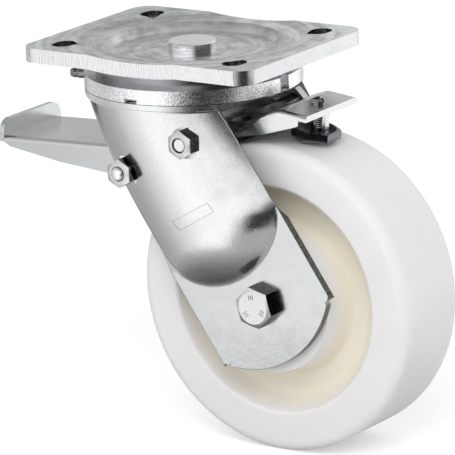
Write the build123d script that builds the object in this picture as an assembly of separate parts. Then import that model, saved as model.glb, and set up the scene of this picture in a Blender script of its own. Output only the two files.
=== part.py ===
from build123d import *
import math
import os

# Swivel castor with a pressed top plate, a pressed fork, a cast nylon wheel and a pedal brake.
# Millimetres, +Z up. The origin is on the swivel axis in the face that meets the machine.
# +X is the trailing side, where the wheel hangs. The pedal points along -X.

# ---- Main sizes ----
PLATE_LENGTH = 140.0
PLATE_WIDTH = 110.0
PLATE_THICKNESS = 7.5
PLATE_CORNER = 10.0
SLOT_SPACING_X = 105.0
SLOT_SPACING_Y = 77.5
SLOT_WIDTH = 11.0
SLOT_LENGTH = 14.0
TOTAL_HEIGHT = 205.0
HEAD_HEIGHT = 45.0
OFFSET = 60.0
WHEEL_WIDTH = 50.0
CROWN_RADIUS = 56.0

# ---- Top plate pressing ----
SWAGE_MARGIN = 5.0
SWAGE_DEPTH = 1.7
SWAGE_SLOPE = 6.0
DISH_MARGIN = 10.5
DISH_WALL_RUN = 3.5
DISH_DEPTH = 5.3
NECK_MARGIN = 6.0
NECK_WALL = 7.0
NECK_DEPTH = 15.0
RACE_ROOF_DEPTH = 14.0
RACE_ROOF_STEP = 2.0
RACE_ROOF_WIDTH = 6.0

# ---- Swivel head ----
UPPER_BALL_RADIUS = 4.5
UPPER_BALL_MARGIN = 19.0
UPPER_BALL_DEPTH = 17.4
LOWER_BALL_RADIUS = 4.0
LOWER_BALL_MARGIN = 7.0
LOWER_BALL_DEPTH = 25.1
BALL_SPACING = 1.07
BALL_PLAY = 0.06
GROOVE_BITE = 0.8
LOCK_RING_WIDTH = 10.0
LOCK_RING_THICKNESS = 7.3
NOTCH_WIDTH = 7.5
NOTCH_DEPTH = 5.5
LOW_NOTCH_HEIGHT = 2.2
KING_PIN_RADIUS = 8.0
KING_HEAD_RADIUS = 12.5
KING_HEAD_RISE = 4.3
KING_NUT_FLATS = 24.0
KING_NUT_HEIGHT = 11.0
KING_PIN_END = 1.5
LOWER_RACE_MARGIN = 1.5
LOWER_RACE_THICKNESS = 3.8
RUNNING_GAP = 0.3
SHAFT_PLAY = 0.05
NIPPLE_ANGLE = -159.0
NIPPLE_RADIUS = 3.0
NIPPLE_STEM = 2.1
NIPPLE_WAIST = 2.5
NIPPLE_TIP = 1.9
NIPPLE_HOLE = 0.75
NIPPLE_LENGTH = 9.0
NIPPLE_SEAT = 4.0
NIPPLE_DEPTH = 19.0
OVERLAP = 1.0

# ---- Fork ----
SHEET = 4.0
CROWN_TRIM = 13.0
CROWN_SHOULDER_MARGIN = 13.0
CROWN_SHOULDER_RISE = 2.2
CROWN_HUB_RISE = 2.5
CROWN_BEND = 2.0
CROWN_BORE = 10.5
RIM_LAND = 2.8
RIM_GROOVE = 0.5
RIM_GROOVE_RUN = 0.4
BARREL_STEP = 1.0
LEG_ANGLE = 56.0
LEG_HALF_WIDTH = 39.5
LEG_FLAT = 35.4
LEG_END = 31.5
LEG_END_RADIUS = 55.0
LEG_STEP = 4.0
LEG_STEP_HEIGHT = 16.5
BARREL_GAP = 23.0
BEND_CLEARANCE = 10.0
BEND_AXIS = 15.0
BEND_TURN = 60.0
BEND_STEPS = 4
FAN_STEPS = 8
FAN_MIDDLE_POWER = 1.8
FAN_APEX_POWER = 1.15
FAN_RADIUS_POWER = 0.8
LEG_LAP = 1.7
BARREL_SECTION_RADIUS = 65.0
BARREL_SHIFT = 2.0
BARREL_CHORD = 5.0
CREASE_ROUND = 4.0
BEVEL_TURN = 45.0
WEDGE_SETBACK = 5.0
WEDGE_RUN = 24.0
WEDGE_DROP = 4.4

# ---- Axle and bearings ----
AXLE_RADIUS = 6.0
AXLE_HEAD_FLATS = 19.0
AXLE_HEAD_HEIGHT = 7.5
AXLE_NUT_HEIGHT = 12.0
STUD_END = 2.0
AXLE_HEAD_TURN = 15.0
HUB_LENGTH = 60.0
TUBE_RADIUS = 10.0
WASHER_RADIUS = 16.0
BEARING_RADIUS = 23.5
BEARING_WIDTH = 14.0
BEARING_INSET = 1.0
RING_WALL = 4.2
BEARING_BALL_RADIUS = 3.95
BEARING_BALL_SPACING = 1.6
SHIELD_THICKNESS = 0.8

# ---- Wheel ----
TREAD_ROUND = 5.0
DISH_WIDTH = 22.5
DISH_WEB = 12.0
DISH_FLARE = 3.0
DISH_LIP = 2.0
DISH_ROUND = 9.0
HUB_WALL = 13.0
HUB_ROUND = 3.0
HUB_FLARE = 3.0
HUB_BORE = 15.0

# ---- Brake pivots, measured from the axle and from the tread's top ----
ARM_PIVOT_BACK = 31.5
ARM_PIVOT_RISE = 4.0
PEDAL_PIVOT_BACK = 72.6
PEDAL_PIVOT_RISE = -16.0
ROLLER_BACK = 60.0
ROLLER_RISE = -6.0
ROLLER_RADIUS = 3.5
PIVOT_RADIUS = 4.0
PIVOT_FLATS = 13.0
PIVOT_NUT_HEIGHT = 8.0
PIVOT_HEAD_HEIGHT = 5.3
PIVOT_END_SINK = 0.4
SLEEVE_RADIUS = 6.5
ARM_SEAT_SINK = 1.292
PEDAL_SEAT_SINK = -0.239
SEAT_RADIUS = 8.2
EYE_RADIUS = 7.5

# ---- Brake arm ----
BRAKE_SHEET = 3.0
FOLD_RADIUS = 2.5
ARM_HALF_WIDTH = 24.0
ARM_TOP_GAP = 2.8
ARM_CROWN_GAP = 3.9
ARM_FOOT_RISE = -1.0
FRONT_WEB_GAP = 3.0
FRONT_WEB_LENGTH = 4.5
FRONT_WEB_LAP = 0.5
FRONT_SLOPE = 6.5
FRONT_SIDE_DEPTH = 8.5
FRONT_FOOT_RUN = 6.0
FRONT_FOOT_RISE = 2.0
WEB_END_BACK = 24.0
WEB_LOW_BACK = 13.7
WEB_LOW_RISE = 9.5
WEB_HIGH_BACK = 4.4
WEB_HIGH_RISE = 15.1
WEB_NOSE_RISE = 16.8
WEB_HEEL_ROUND = 8.0
WEB_LOW_ROUND = 8.0
WEB_HIGH_ROUND = 6.0
LUG_ROOT = 10.0
LUG_SHOULDER = 6.0
LUG_SHOULDER_DROP = 2.0
LUG_TIP = 3.0
LUG_TIP_DROP = 5.5
SIDE_MIDDLE_BACK = 22.0
SIDE_MIDDLE_RISE = 1.9
SIDE_REAR_BACK = 2.4
SIDE_REAR_RISE = 5.5
NOSE_HEEL = 7.0
NOSE_SIDE = 17.0
NOSE_SIDE_RISE = 11.1
NOSE_END = 23.8
NOSE_RISE = 19.3
NOSE_TRIM_START = 15.0
NOSE_TRIM_REACH = 6.0
NOSE_TRIM_BLOCK = 20.0
NOSE_TRIM_TURN = 40.0
TOOTH_INSET = 2.5
TOOTH_WIDTH = 6.4
TOOTH_GAP = 1.1
TONGUE_BACK = 2.6
TONGUE_SIDE = 13.0
TONGUE_RISE = 17.8
TONGUE_LENGTH = 9.5
TONGUE_WIDTH = 4.5
TONGUE_THICKNESS = 1.8
TONGUE_TURN = 45.0
TAB_FORWARD = 5.2
TAB_THICKNESS = 2.0
TAB_WIDTH = 3.5
TAB_LAP = 0.5

# ---- Brake pad and its screw ----
PAD_TILT = 7.0
PAD_FLATS = 22.0
PAD_THICKNESS = 4.8
PAD_CLEARANCE = 1.8
PAD_SHIFT = 3.6
SCREW_RADIUS = 3.0
SCREW_RISE = 2.6
SCREW_SLOT_WIDTH = 1.2
SCREW_SLOT_DEPTH = 1.2

# ---- Brake pedal and its cam, measured from the pedal's pivot ----
CAM_RADIUS = 9.0
CAM_OFFSET = 4.4
CAM_HUB_RADIUS = 7.0
CAM_HALF_WIDTH = 19.5
PEDAL_HALF_WIDTH = 25.0
PEDAL_EYE = 8.0
PEDAL_LENGTH = 93.2
PEDAL_END_RISE = 3.8
PEDAL_PLATE_RUN = 23.4
PEDAL_PLATE_RISE = 6.3
PEDAL_PLATE_ROUND = 30.0
PEDAL_NECK_RUN = 6.0
PEDAL_NECK_RISE = 7.4
SKIRT_DEEP_RUN = 27.3
SKIRT_DEEP = 8.7
SKIRT_MID_RUN = 56.8
SKIRT_MID = 6.3
SKIRT_END_RUN = 89.0
SKIRT_END = 1.4
LIP_HEIGHT = 8.5
LIP_CORNER = 7.0
LIP_LAP = 0.5
PEDAL_ROOM_LENGTH = 60.0
PEDAL_ROOM_HEIGHT = 45.0
PEDAL_ROOM_RUN = 26.0
PEDAL_ROOM_DROP = 7.0

# ---- Places worked out from the sizes above ----
WHEEL_RADIUS = (TOTAL_HEIGHT - HEAD_HEIGHT) / 2
TREAD_Z = -HEAD_HEIGHT
AXLE_Z = TREAD_Z - WHEEL_RADIUS
SWAGE_RADIUS = CROWN_RADIUS + SWAGE_MARGIN
DISH_RADIUS = CROWN_RADIUS - DISH_MARGIN
NECK_RADIUS = CROWN_RADIUS - NECK_MARGIN
LOCK_RING_Z = -NECK_DEPTH
LOCK_RING_BORE = CROWN_RADIUS - LOCK_RING_WIDTH
UPPER_BALL_PITCH = CROWN_RADIUS - UPPER_BALL_MARGIN
CROWN_HUB_RADIUS = CROWN_RADIUS / 2
CROWN_SHOULDER = CROWN_RADIUS - CROWN_SHOULDER_MARGIN
CROWN_TOP = LOCK_RING_Z - LOCK_RING_THICKNESS - RUNNING_GAP
CROWN_BOTTOM = CROWN_TOP - SHEET
LOWER_BALL_PITCH = CROWN_HUB_RADIUS - LOWER_BALL_MARGIN
LOWER_RACE_RADIUS = CROWN_HUB_RADIUS - LOWER_RACE_MARGIN
LOWER_RACE_TOP = -(LOWER_BALL_DEPTH + LOWER_BALL_RADIUS - GROOVE_BITE)
KING_NUT_TOP = LOWER_RACE_TOP - LOWER_RACE_THICKNESS
BEARING_PITCH = (TUBE_RADIUS + BEARING_RADIUS) / 2
HUB_RADIUS = BEARING_RADIUS + HUB_WALL
DISH_OUTER = HUB_RADIUS + DISH_WIDTH
HUB_FACE = HUB_LENGTH / 2
LEG_INNER = LEG_FLAT - SHEET
LEAN = math.radians(LEG_ANGLE)
BARREL_TOP = CROWN_RADIUS - BARREL_STEP
BARREL_APEX = WHEEL_WIDTH / 2 + BARREL_GAP
BEND_RADIUS = BARREL_APEX - BEND_AXIS
BEND_HEIGHT = BEND_RADIUS + BEND_CLEARANCE
ARM_PIVOT_X = OFFSET - ARM_PIVOT_BACK
ARM_PIVOT_Z = TREAD_Z + ARM_PIVOT_RISE
PEDAL_PIVOT_X = OFFSET - PEDAL_PIVOT_BACK
PEDAL_PIVOT_Z = TREAD_Z + PEDAL_PIVOT_RISE
ROLLER_X = OFFSET - ROLLER_BACK
ROLLER_Z = TREAD_Z + ROLLER_RISE
PIVOTS = ((ARM_PIVOT_X, ARM_PIVOT_Z, ARM_SEAT_SINK), (PEDAL_PIVOT_X, PEDAL_PIVOT_Z, PEDAL_SEAT_SINK))
ARM_TOP = KING_NUT_TOP - ARM_TOP_GAP
ARM_FOOT = TREAD_Z + ARM_FOOT_RISE
FRONT_TOP = CROWN_BOTTOM - ARM_CROWN_GAP
FRONT_WEB_X = -LOWER_RACE_RADIUS - FRONT_WEB_GAP
ARM_FRONT_X = FRONT_WEB_X - FRONT_WEB_LENGTH
NOSE_END_X = OFFSET + NOSE_END
WEB_END_X = OFFSET - WEB_END_BACK
NOSE_RADIAL = WHEEL_RADIUS + NOSE_RISE
TOOTH_X = TOOTH_INSET - CROWN_RADIUS
TOOTH_TOP = LOCK_RING_Z - LOCK_RING_THICKNESS - TOOTH_GAP
PEDAL_END = PEDAL_PIVOT_X - PEDAL_LENGTH
PEDAL_END_Z = PEDAL_PIVOT_Z + PEDAL_END_RISE
PEDAL_INNER = PEDAL_HALF_WIDTH - BRAKE_SHEET
NEAR = -1
FAR = 1


def turned(points):
    """A solid of revolution about Z from (radius, height) points."""
    return revolve(Plane.XZ * make_face(Polyline(*points, close=True)), Axis.Z)


def on_axle(shape):
    """Takes a shape turned about Z at the origin and lays its axis along the axle."""
    return Pos(OFFSET, 0, AXLE_Z) * Rot(90, 0, 0) * shape


def across(x, z, radius, y_from, y_to):
    """A round bar along Y between two values of y."""
    bar = Cylinder(radius, y_to - y_from)
    return Pos(x, (y_from + y_to) / 2, z) * Rot(90, 0, 0) * bar


def side_plate(outline, y_from, y_to):
    """A flat plate cut from an (x, z) outline, between two values of y."""
    return Pos(0, y_to, 0) * extrude(Plane.XZ * make_face(outline), y_to - y_from)


def hexagon(flats, height, bevel):
    """An upright hexagonal prism on Z = 0 with its top corners turned off."""
    corner = flats / math.sqrt(3)
    prism = extrude(RegularPolygon(corner, 6), height)
    cone = turned([(0, 0), (corner + 1, 0), (corner + 1, height - bevel),
                   (flats / 2 - bevel, height), (0, height)])
    return prism & cone


def ball_row(radius, pitch, height, spacing):
    """As many separate balls on a circle about Z as fit it, at their spacing in diameters."""
    count = math.floor(math.pi * pitch / (radius * spacing))
    return [Pos(0, 0, height) * loc * Sphere(radius) for loc in PolarLocations(pitch, count)]


def washer(outer, inner, z_from, z_to):
    """A flat ring about Z."""
    return turned([(inner, z_from), (outer, z_from), (outer, z_to), (inner, z_to)])


# ---- Top plate and swivel head ----
def make_top_plate():
    """A pressed plate: raised corners, a stepped round dish and a neck below it."""
    blank = extrude(RectangleRounded(PLATE_LENGTH, PLATE_WIDTH, PLATE_CORNER), -PLATE_THICKNESS)
    envelope = extrude(RectangleRounded(PLATE_LENGTH, PLATE_WIDTH, PLATE_CORNER), -NECK_DEPTH)
    under = -PLATE_THICKNESS
    neck = turned([
        (0, under + OVERLAP), (SWAGE_RADIUS, under + OVERLAP), (SWAGE_RADIUS, under),
        (SWAGE_RADIUS - SWAGE_SLOPE, under - SWAGE_DEPTH), (NECK_RADIUS, under - SWAGE_DEPTH),
        (NECK_RADIUS, LOCK_RING_Z), (NECK_RADIUS - NECK_WALL, LOCK_RING_Z),
        (NECK_RADIUS - NECK_WALL - 1, -RACE_ROOF_DEPTH),
        (UPPER_BALL_PITCH - RACE_ROOF_WIDTH, -RACE_ROOF_DEPTH),
        (UPPER_BALL_PITCH - RACE_ROOF_WIDTH - RACE_ROOF_STEP, -RACE_ROOF_DEPTH + RACE_ROOF_STEP),
        (0, -RACE_ROOF_DEPTH + RACE_ROOF_STEP)])
    dish = turned([
        (0, OVERLAP), (0, -DISH_DEPTH), (DISH_RADIUS - DISH_WALL_RUN, -DISH_DEPTH),
        (DISH_RADIUS, -SWAGE_DEPTH), (SWAGE_RADIUS - SWAGE_SLOPE, -SWAGE_DEPTH),
        (SWAGE_RADIUS, 0), (SWAGE_RADIUS, OVERLAP)])
    plate = blank + (neck & envelope) - dish
    slot = SlotOverall(SLOT_LENGTH, SLOT_WIDTH, rotation=90)
    for loc in GridLocations(SLOT_SPACING_X, SLOT_SPACING_Y, 2, 2):
        plate -= extrude(loc * slot, -2 * PLATE_THICKNESS)
    plate -= Pos(0, 0, -UPPER_BALL_DEPTH) * Torus(UPPER_BALL_PITCH, UPPER_BALL_RADIUS + BALL_PLAY)
    plate -= Cylinder(KING_PIN_RADIUS, 4 * NECK_DEPTH)
    return plate


def make_lock_ring():
    """A thick ring whose notches take the brake's tooth: open ones in line, low ones at the sides."""
    bottom = LOCK_RING_Z - LOCK_RING_THICKNESS
    ring = washer(CROWN_RADIUS, LOCK_RING_BORE, bottom, LOCK_RING_Z)
    open_notch = Box(2 * NOTCH_DEPTH, NOTCH_WIDTH, 4 * LOCK_RING_THICKNESS)
    low_notch = Box(2 * NOTCH_DEPTH, NOTCH_WIDTH, 2 * LOW_NOTCH_HEIGHT)
    for loc in PolarLocations(CROWN_RADIUS, 2):
        ring -= Pos(0, 0, bottom) * loc * open_notch
        ring -= Pos(0, 0, bottom) * Rot(0, 0, 90) * loc * low_notch
    seat = Rot(0, 90, 0) * Cylinder(NIPPLE_STEM, 2 * NIPPLE_SEAT)
    return ring - Rot(0, 0, NIPPLE_ANGLE) * Pos(CROWN_RADIUS, 0, -NIPPLE_DEPTH) * seat


def make_grease_nipple():
    """A turned nipple with a waist and a round tip."""
    base = 2 * SHAFT_PLAY
    length = NIPPLE_LENGTH
    body = turned([(0, -NIPPLE_SEAT), (NIPPLE_STEM, -NIPPLE_SEAT), (NIPPLE_STEM, base),
                   (NIPPLE_RADIUS, base), (NIPPLE_RADIUS, length * 0.5), (NIPPLE_WAIST, length * 0.6),
                   (NIPPLE_RADIUS * 0.9, length * 0.78), (NIPPLE_TIP, length), (NIPPLE_HOLE, length),
                   (NIPPLE_HOLE, length - NIPPLE_HOLE), (0, length - NIPPLE_HOLE)])
    place = Rot(0, 0, NIPPLE_ANGLE) * Pos(CROWN_RADIUS, 0, -NIPPLE_DEPTH) * Rot(0, 90, 0)
    return place * body


def make_king_pin():
    """The centre bolt: a low round head in the plate's dish and a shank down to the nut."""
    top = -DISH_DEPTH + KING_HEAD_RISE
    end = KING_NUT_TOP - KING_NUT_HEIGHT - KING_PIN_END
    return turned([
        (0, top), (KING_HEAD_RADIUS - 0.6, top), (KING_HEAD_RADIUS, top - 0.6),
        (KING_HEAD_RADIUS, -DISH_DEPTH), (KING_PIN_RADIUS, -DISH_DEPTH),
        (KING_PIN_RADIUS, end + 1.5), (KING_PIN_RADIUS - 1.5, end), (0, end)])


def make_king_pin_nut():
    """A plain nut that holds the lower race."""
    nut = Pos(0, 0, KING_NUT_TOP) * Rot(180, 0, 0) * hexagon(KING_NUT_FLATS, KING_NUT_HEIGHT, 1.2)
    return nut - Cylinder(KING_PIN_RADIUS, 200)


def make_lower_race():
    """The cup under the crown that carries the lower ball row."""
    cup = washer(LOWER_RACE_RADIUS, KING_PIN_RADIUS, KING_NUT_TOP, LOWER_RACE_TOP)
    return cup - Pos(0, 0, -LOWER_BALL_DEPTH) * Torus(LOWER_BALL_PITCH, LOWER_BALL_RADIUS + BALL_PLAY)


# ---- Fork ----
def leg_plane():
    """The near leg's own plane: x across the leg, y up the leg, z outwards, origin on the axle."""
    across_leg = (math.sin(LEAN), 0, math.cos(LEAN))
    return Plane(origin=(OFFSET, 0, AXLE_Z), x_dir=across_leg, z_dir=(0, -1, 0))


def section_face(plane, middle, apex, radius, chord):
    """A closed arc segment: plane x runs across the leg and plane y points outwards."""
    centre = apex - radius
    half = math.sqrt(radius ** 2 - (chord - centre) ** 2)
    arc = ThreePointArc((middle - half, chord), (middle, apex), (middle + half, chord))
    base = Line((middle + half, chord), (middle - half, chord))
    return plane * make_face(arc + base)


def barrel(inset):
    """The round upper part of a leg, lofted from the bend over the axle plate up to the crown."""
    frame = leg_plane()
    bend_axis = frame.origin + frame.y_dir * BEND_HEIGHT + frame.z_dir * BEND_AXIS
    base = BARREL_CHORD - inset / 2
    sections = []
    for step in range(BEND_STEPS):
        angle = math.radians(BEND_TURN * (1 - step / BEND_STEPS))
        outward = frame.z_dir * math.cos(angle) - frame.y_dir * math.sin(angle)
        plane = Plane(origin=bend_axis, x_dir=frame.x_dir, z_dir=frame.x_dir.cross(outward))
        sections.append(section_face(plane, BARREL_SHIFT, BEND_RADIUS - inset,
                                     BARREL_SECTION_RADIUS - inset, base))
    top = CROWN_BOTTOM + LEG_LAP
    fan_n = (top - AXLE_Z - BEND_HEIGHT * math.sin(LEAN)) / math.cos(LEAN)
    fan_x = OFFSET - BEND_HEIGHT * math.cos(LEAN) + fan_n * math.sin(LEAN)
    for step in range(1, FAN_STEPS + 1):
        share = step / FAN_STEPS
        tilt = (math.pi / 2 - LEAN) * (1 - share)
        along = Vector(math.cos(tilt), 0, math.sin(tilt))
        plane = Plane(origin=(fan_x, 0, top), x_dir=along, z_dir=along.cross(Vector(0, NEAR, 0)))
        start = BARREL_SHIFT - fan_n
        middle = start + (-fan_x - start) * share ** FAN_MIDDLE_POWER
        apex = BARREL_APEX + (BARREL_TOP - BARREL_APEX) * share ** FAN_APEX_POWER
        radius = BARREL_SECTION_RADIUS
        radius += (BARREL_TOP - BARREL_SECTION_RADIUS) * share ** FAN_RADIUS_POWER
        chord = base + BEND_AXIS * (1 - share)
        sections.append(section_face(plane, middle, apex - inset, radius - inset, chord))
    return loft(sections)


def envelope(inset):
    """Everything inside the leg's skin: the flat plate over the axle and the barrel above it."""
    face = LEG_FLAT - inset
    foot = -2 * LEG_END
    wedge_foot = BEND_HEIGHT - WEDGE_SETBACK
    wedge_top = wedge_foot + WEDGE_RUN
    profile = Polyline((foot, 0), (foot, face), (wedge_foot, face), (wedge_top, face - WEDGE_DROP),
                       (wedge_top, 0), close=True)
    frame = leg_plane()
    plane = Plane(origin=frame.origin - frame.x_dir * BARREL_SECTION_RADIUS, x_dir=frame.y_dir,
                  z_dir=frame.x_dir)
    slab = extrude(plane * make_face(profile), 2 * BARREL_SECTION_RADIUS)
    return slab + barrel(inset)


def leg_outline():
    """The leg seen square on: straight sides, a small step and a round end."""
    step = LEG_HALF_WIDTH - LEG_STEP
    top = TOTAL_HEIGHT
    sag = LEG_END_RADIUS - math.sqrt(LEG_END_RADIUS ** 2 - step ** 2)
    side = -LEG_END + sag
    lines = Polyline((step, side), (step, -LEG_STEP_HEIGHT), (LEG_HALF_WIDTH, -LEG_STEP_HEIGHT),
                     (LEG_HALF_WIDTH, top), (-LEG_HALF_WIDTH, top),
                     (-LEG_HALF_WIDTH, -LEG_STEP_HEIGHT), (-step, -LEG_STEP_HEIGHT), (-step, side))
    return make_face(lines + ThreePointArc((-step, side), (0, -LEG_END), (step, side)))


def soften_crease(solid, radius):
    """Rounds the inside corner where the barrel rises out of the flat plate."""
    frame = leg_plane()
    crease = []
    for edge in solid.edges().filter_by(GeomType.BSPLINE):
        middle = edge @ 0.5 - frame.origin
        if edge.length > LEG_HALF_WIDTH and abs(middle.dot(frame.z_dir) - LEG_FLAT) < SHAFT_PLAY:
            crease.append(edge)
    return fillet(crease, radius)


def seat_y(x, z, sink):
    """How far out a pivot's spot-faced seat lies, sunk below the leg's skin on the pivot's axis."""
    hits = envelope(0).find_intersection_points(Axis((x, 0, z), (0, 1, 0)))
    return max(-point.Y for point, _ in hits) - sink


def edge_bevel(side):
    """What comes off one side of the barrel, so that the sheet's edge stands square to its skin."""
    frame = leg_plane()
    centre = BARREL_APEX - BARREL_SECTION_RADIUS
    reach = side * LEG_HALF_WIDTH - BARREL_SHIFT
    rise = math.sqrt(BARREL_SECTION_RADIUS ** 2 - reach ** 2)
    share = 1 - 2 * SHEET / BARREL_SECTION_RADIUS
    clear = side * 2 * LEG_HALF_WIDTH
    lines = Polyline((side * LEG_HALF_WIDTH, centre + rise),
                     (BARREL_SHIFT + reach * share, centre + rise * share),
                     (clear, centre + rise * share), (clear, centre + rise), close=True)
    start = frame.origin + frame.y_dir * BEND_HEIGHT
    section = Plane(origin=start, x_dir=frame.x_dir, z_dir=-frame.y_dir) * make_face(lines)
    bend_axis = Axis(start + frame.z_dir * BEND_AXIS, frame.x_dir)
    straight = extrude(section, TOTAL_HEIGHT, dir=frame.y_dir)
    return straight + revolve(section, bend_axis, BEVEL_TURN)


def make_leg():
    """The near leg: one skin thickness between two envelopes, cut to its outline."""
    prism = extrude(leg_plane() * leg_outline(), 2 * CROWN_RADIUS)
    shell = (soften_crease(envelope(0), CREASE_ROUND) & prism) - envelope(SHEET)
    shell = shell - edge_bevel(1) - edge_bevel(-1)
    leg = max(shell.solids(), key=lambda s: s.volume)
    leg -= across(OFFSET, AXLE_Z, AXLE_RADIUS, -WHEEL_RADIUS, 0)
    for x, z, sink in PIVOTS:
        leg -= across(x, z, PIVOT_RADIUS, -WHEEL_RADIUS, 0)
        leg -= across(x, z, SEAT_RADIUS, -WHEEL_RADIUS, -seat_y(x, z, sink))
    return leg


def make_crown():
    """The fork's top: a flat rim, a raised ring with the upper groove and a raised hub."""
    shoulder = CROWN_TOP + CROWN_SHOULDER_RISE
    hub = shoulder + CROWN_HUB_RISE
    bend = CROWN_BEND
    inner_rim = CROWN_RADIUS - RIM_GROOVE
    rim = [(CROWN_RADIUS, CROWN_TOP), (CROWN_RADIUS, CROWN_TOP - RIM_LAND),
           (inner_rim, CROWN_TOP - RIM_LAND - RIM_GROOVE_RUN), (inner_rim, CROWN_BOTTOM)]
    under = [(CROWN_SHOULDER, CROWN_BOTTOM), (CROWN_SHOULDER - bend, shoulder - SHEET),
             (CROWN_HUB_RADIUS + 1.5 * bend, shoulder - SHEET),
             (CROWN_HUB_RADIUS + 0.25 * bend, hub - SHEET), (CROWN_BORE, hub - SHEET)]
    over = [(CROWN_BORE, hub), (CROWN_HUB_RADIUS, hub), (CROWN_HUB_RADIUS + bend, shoulder),
            (CROWN_SHOULDER - 0.25 * bend, shoulder), (CROWN_SHOULDER + 0.75 * bend, CROWN_TOP)]
    crown = turned(rim + under + over)
    bulge = Pos(0, 0, -UPPER_BALL_DEPTH) * Torus(UPPER_BALL_PITCH, UPPER_BALL_RADIUS + SHEET)
    crown += bulge & washer(CROWN_SHOULDER, CROWN_HUB_RADIUS, CROWN_BOTTOM - SHEET, shoulder - 1)
    crown -= Pos(0, 0, -UPPER_BALL_DEPTH) * Torus(UPPER_BALL_PITCH, UPPER_BALL_RADIUS + BALL_PLAY)
    crown -= Pos(0, 0, -LOWER_BALL_DEPTH) * Torus(LOWER_BALL_PITCH, LOWER_BALL_RADIUS + BALL_PLAY)
    trim = Box(CROWN_RADIUS, 4 * CROWN_RADIUS, 8 * SHEET)
    return crown - Pos(1.5 * CROWN_RADIUS - CROWN_TRIM, 0, CROWN_TOP) * trim


def make_fork():
    """Crown and two mirrored legs as one pressed sheet, with the slot for the brake's tooth."""
    near = make_leg()
    fork = make_crown() + near + mirror(near, Plane.XZ)
    slot = Box(3 * BRAKE_SHEET, TOOTH_WIDTH + BRAKE_SHEET, 4 * SHEET)
    fork -= Pos(TOOTH_X, 0, CROWN_TOP) * slot
    room = Box(PEDAL_ROOM_LENGTH, 2 * (PEDAL_HALF_WIDTH + 2 * RUNNING_GAP), PEDAL_ROOM_HEIGHT)
    return fork - Pos(PEDAL_PIVOT_X - PEDAL_ROOM_RUN, 0, PEDAL_PIVOT_Z - PEDAL_ROOM_DROP) * room


# ---- Axle, bearings and wheel ----
def hex_bolt(radius, flats, head, grip, bevel):
    """A bolt along Z: head below Z = 0, shank from 0 to grip with a bevelled end."""
    shank = turned([(0, 0), (radius, 0), (radius, grip - 1), (radius - 1, grip), (0, grip)])
    return Rot(180, 0, 0) * hexagon(flats, head, bevel) + shank


def lock_nut(radius, flats, height, bevel):
    """A plain hexagonal nut along Z."""
    return hexagon(flats, height, bevel) - Cylinder(radius, 4 * height)


def along_y(y, side):
    """Turns +Z into the outward direction of one side and moves the origin out to y."""
    return Pos(0, side * y, 0) * Rot(90 if side == NEAR else -90, 0, 0)


def make_axle_bolt():
    """The M12 bolt with its head against the near leg."""
    grip = 2 * LEG_FLAT + AXLE_NUT_HEIGHT + STUD_END
    bolt = hex_bolt(AXLE_RADIUS, AXLE_HEAD_FLATS, AXLE_HEAD_HEIGHT, grip, 1.1)
    turn = Rot(0, 0, AXLE_HEAD_TURN)
    return Pos(OFFSET, 0, AXLE_Z) * along_y(-LEG_FLAT, FAR) * turn * bolt


def make_axle_nut():
    """The lock nut on the far leg."""
    nut = lock_nut(AXLE_RADIUS, AXLE_HEAD_FLATS, AXLE_NUT_HEIGHT, 1.4)
    return Pos(OFFSET, 0, AXLE_Z) * along_y(LEG_FLAT, FAR) * nut


def make_axle_tube():
    """The clamped tube that the bearings' inner rings sit on."""
    return on_axle(washer(TUBE_RADIUS, AXLE_RADIUS, -HUB_FACE, HUB_FACE))


def make_axle_washers():
    """Two spacers between the hub and the legs."""
    return [on_axle(washer(WASHER_RADIUS, AXLE_RADIUS, HUB_FACE, LEG_INNER)),
            on_axle(washer(WASHER_RADIUS, AXLE_RADIUS, -LEG_INNER, -HUB_FACE))]


def bearing_span(side):
    """The two ends of a bearing along the axle, in the direction of the axle's own Z."""
    outer = HUB_FACE - BEARING_INSET
    inner = outer - BEARING_WIDTH
    return (inner, outer) if side == NEAR else (-outer, -inner)


def make_inner_ring(side):
    """A bearing's inner ring with its ball groove."""
    low, high = bearing_span(side)
    ring = washer(TUBE_RADIUS + RING_WALL, TUBE_RADIUS, low, high)
    return on_axle(ring - ball_groove(low, high))


def make_outer_ring(side):
    """A bearing's outer ring with its ball groove."""
    low, high = bearing_span(side)
    ring = washer(BEARING_RADIUS, BEARING_RADIUS - RING_WALL, low, high)
    return on_axle(ring - ball_groove(low, high))


def ball_groove(low, high):
    """The ring-shaped path of the balls."""
    return Pos(0, 0, (low + high) / 2) * Torus(BEARING_PITCH, BEARING_BALL_RADIUS + SHAFT_PLAY)


def make_bearing_balls(side):
    """The balls of one bearing."""
    low, high = bearing_span(side)
    row = ball_row(BEARING_BALL_RADIUS, BEARING_PITCH, (low + high) / 2, BEARING_BALL_SPACING)
    return [on_axle(ball) for ball in row]


def make_shields(side):
    """The two thin rings that close a bearing, held by its outer ring."""
    low, high = bearing_span(side)
    outer = BEARING_RADIUS - RING_WALL
    inner = TUBE_RADIUS + RING_WALL + RUNNING_GAP
    edge = 0.3
    return [on_axle(washer(outer, inner, low + edge, low + edge + SHIELD_THICKNESS)),
            on_axle(washer(outer, inner, high - edge - SHIELD_THICKNESS, high - edge))]


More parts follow.
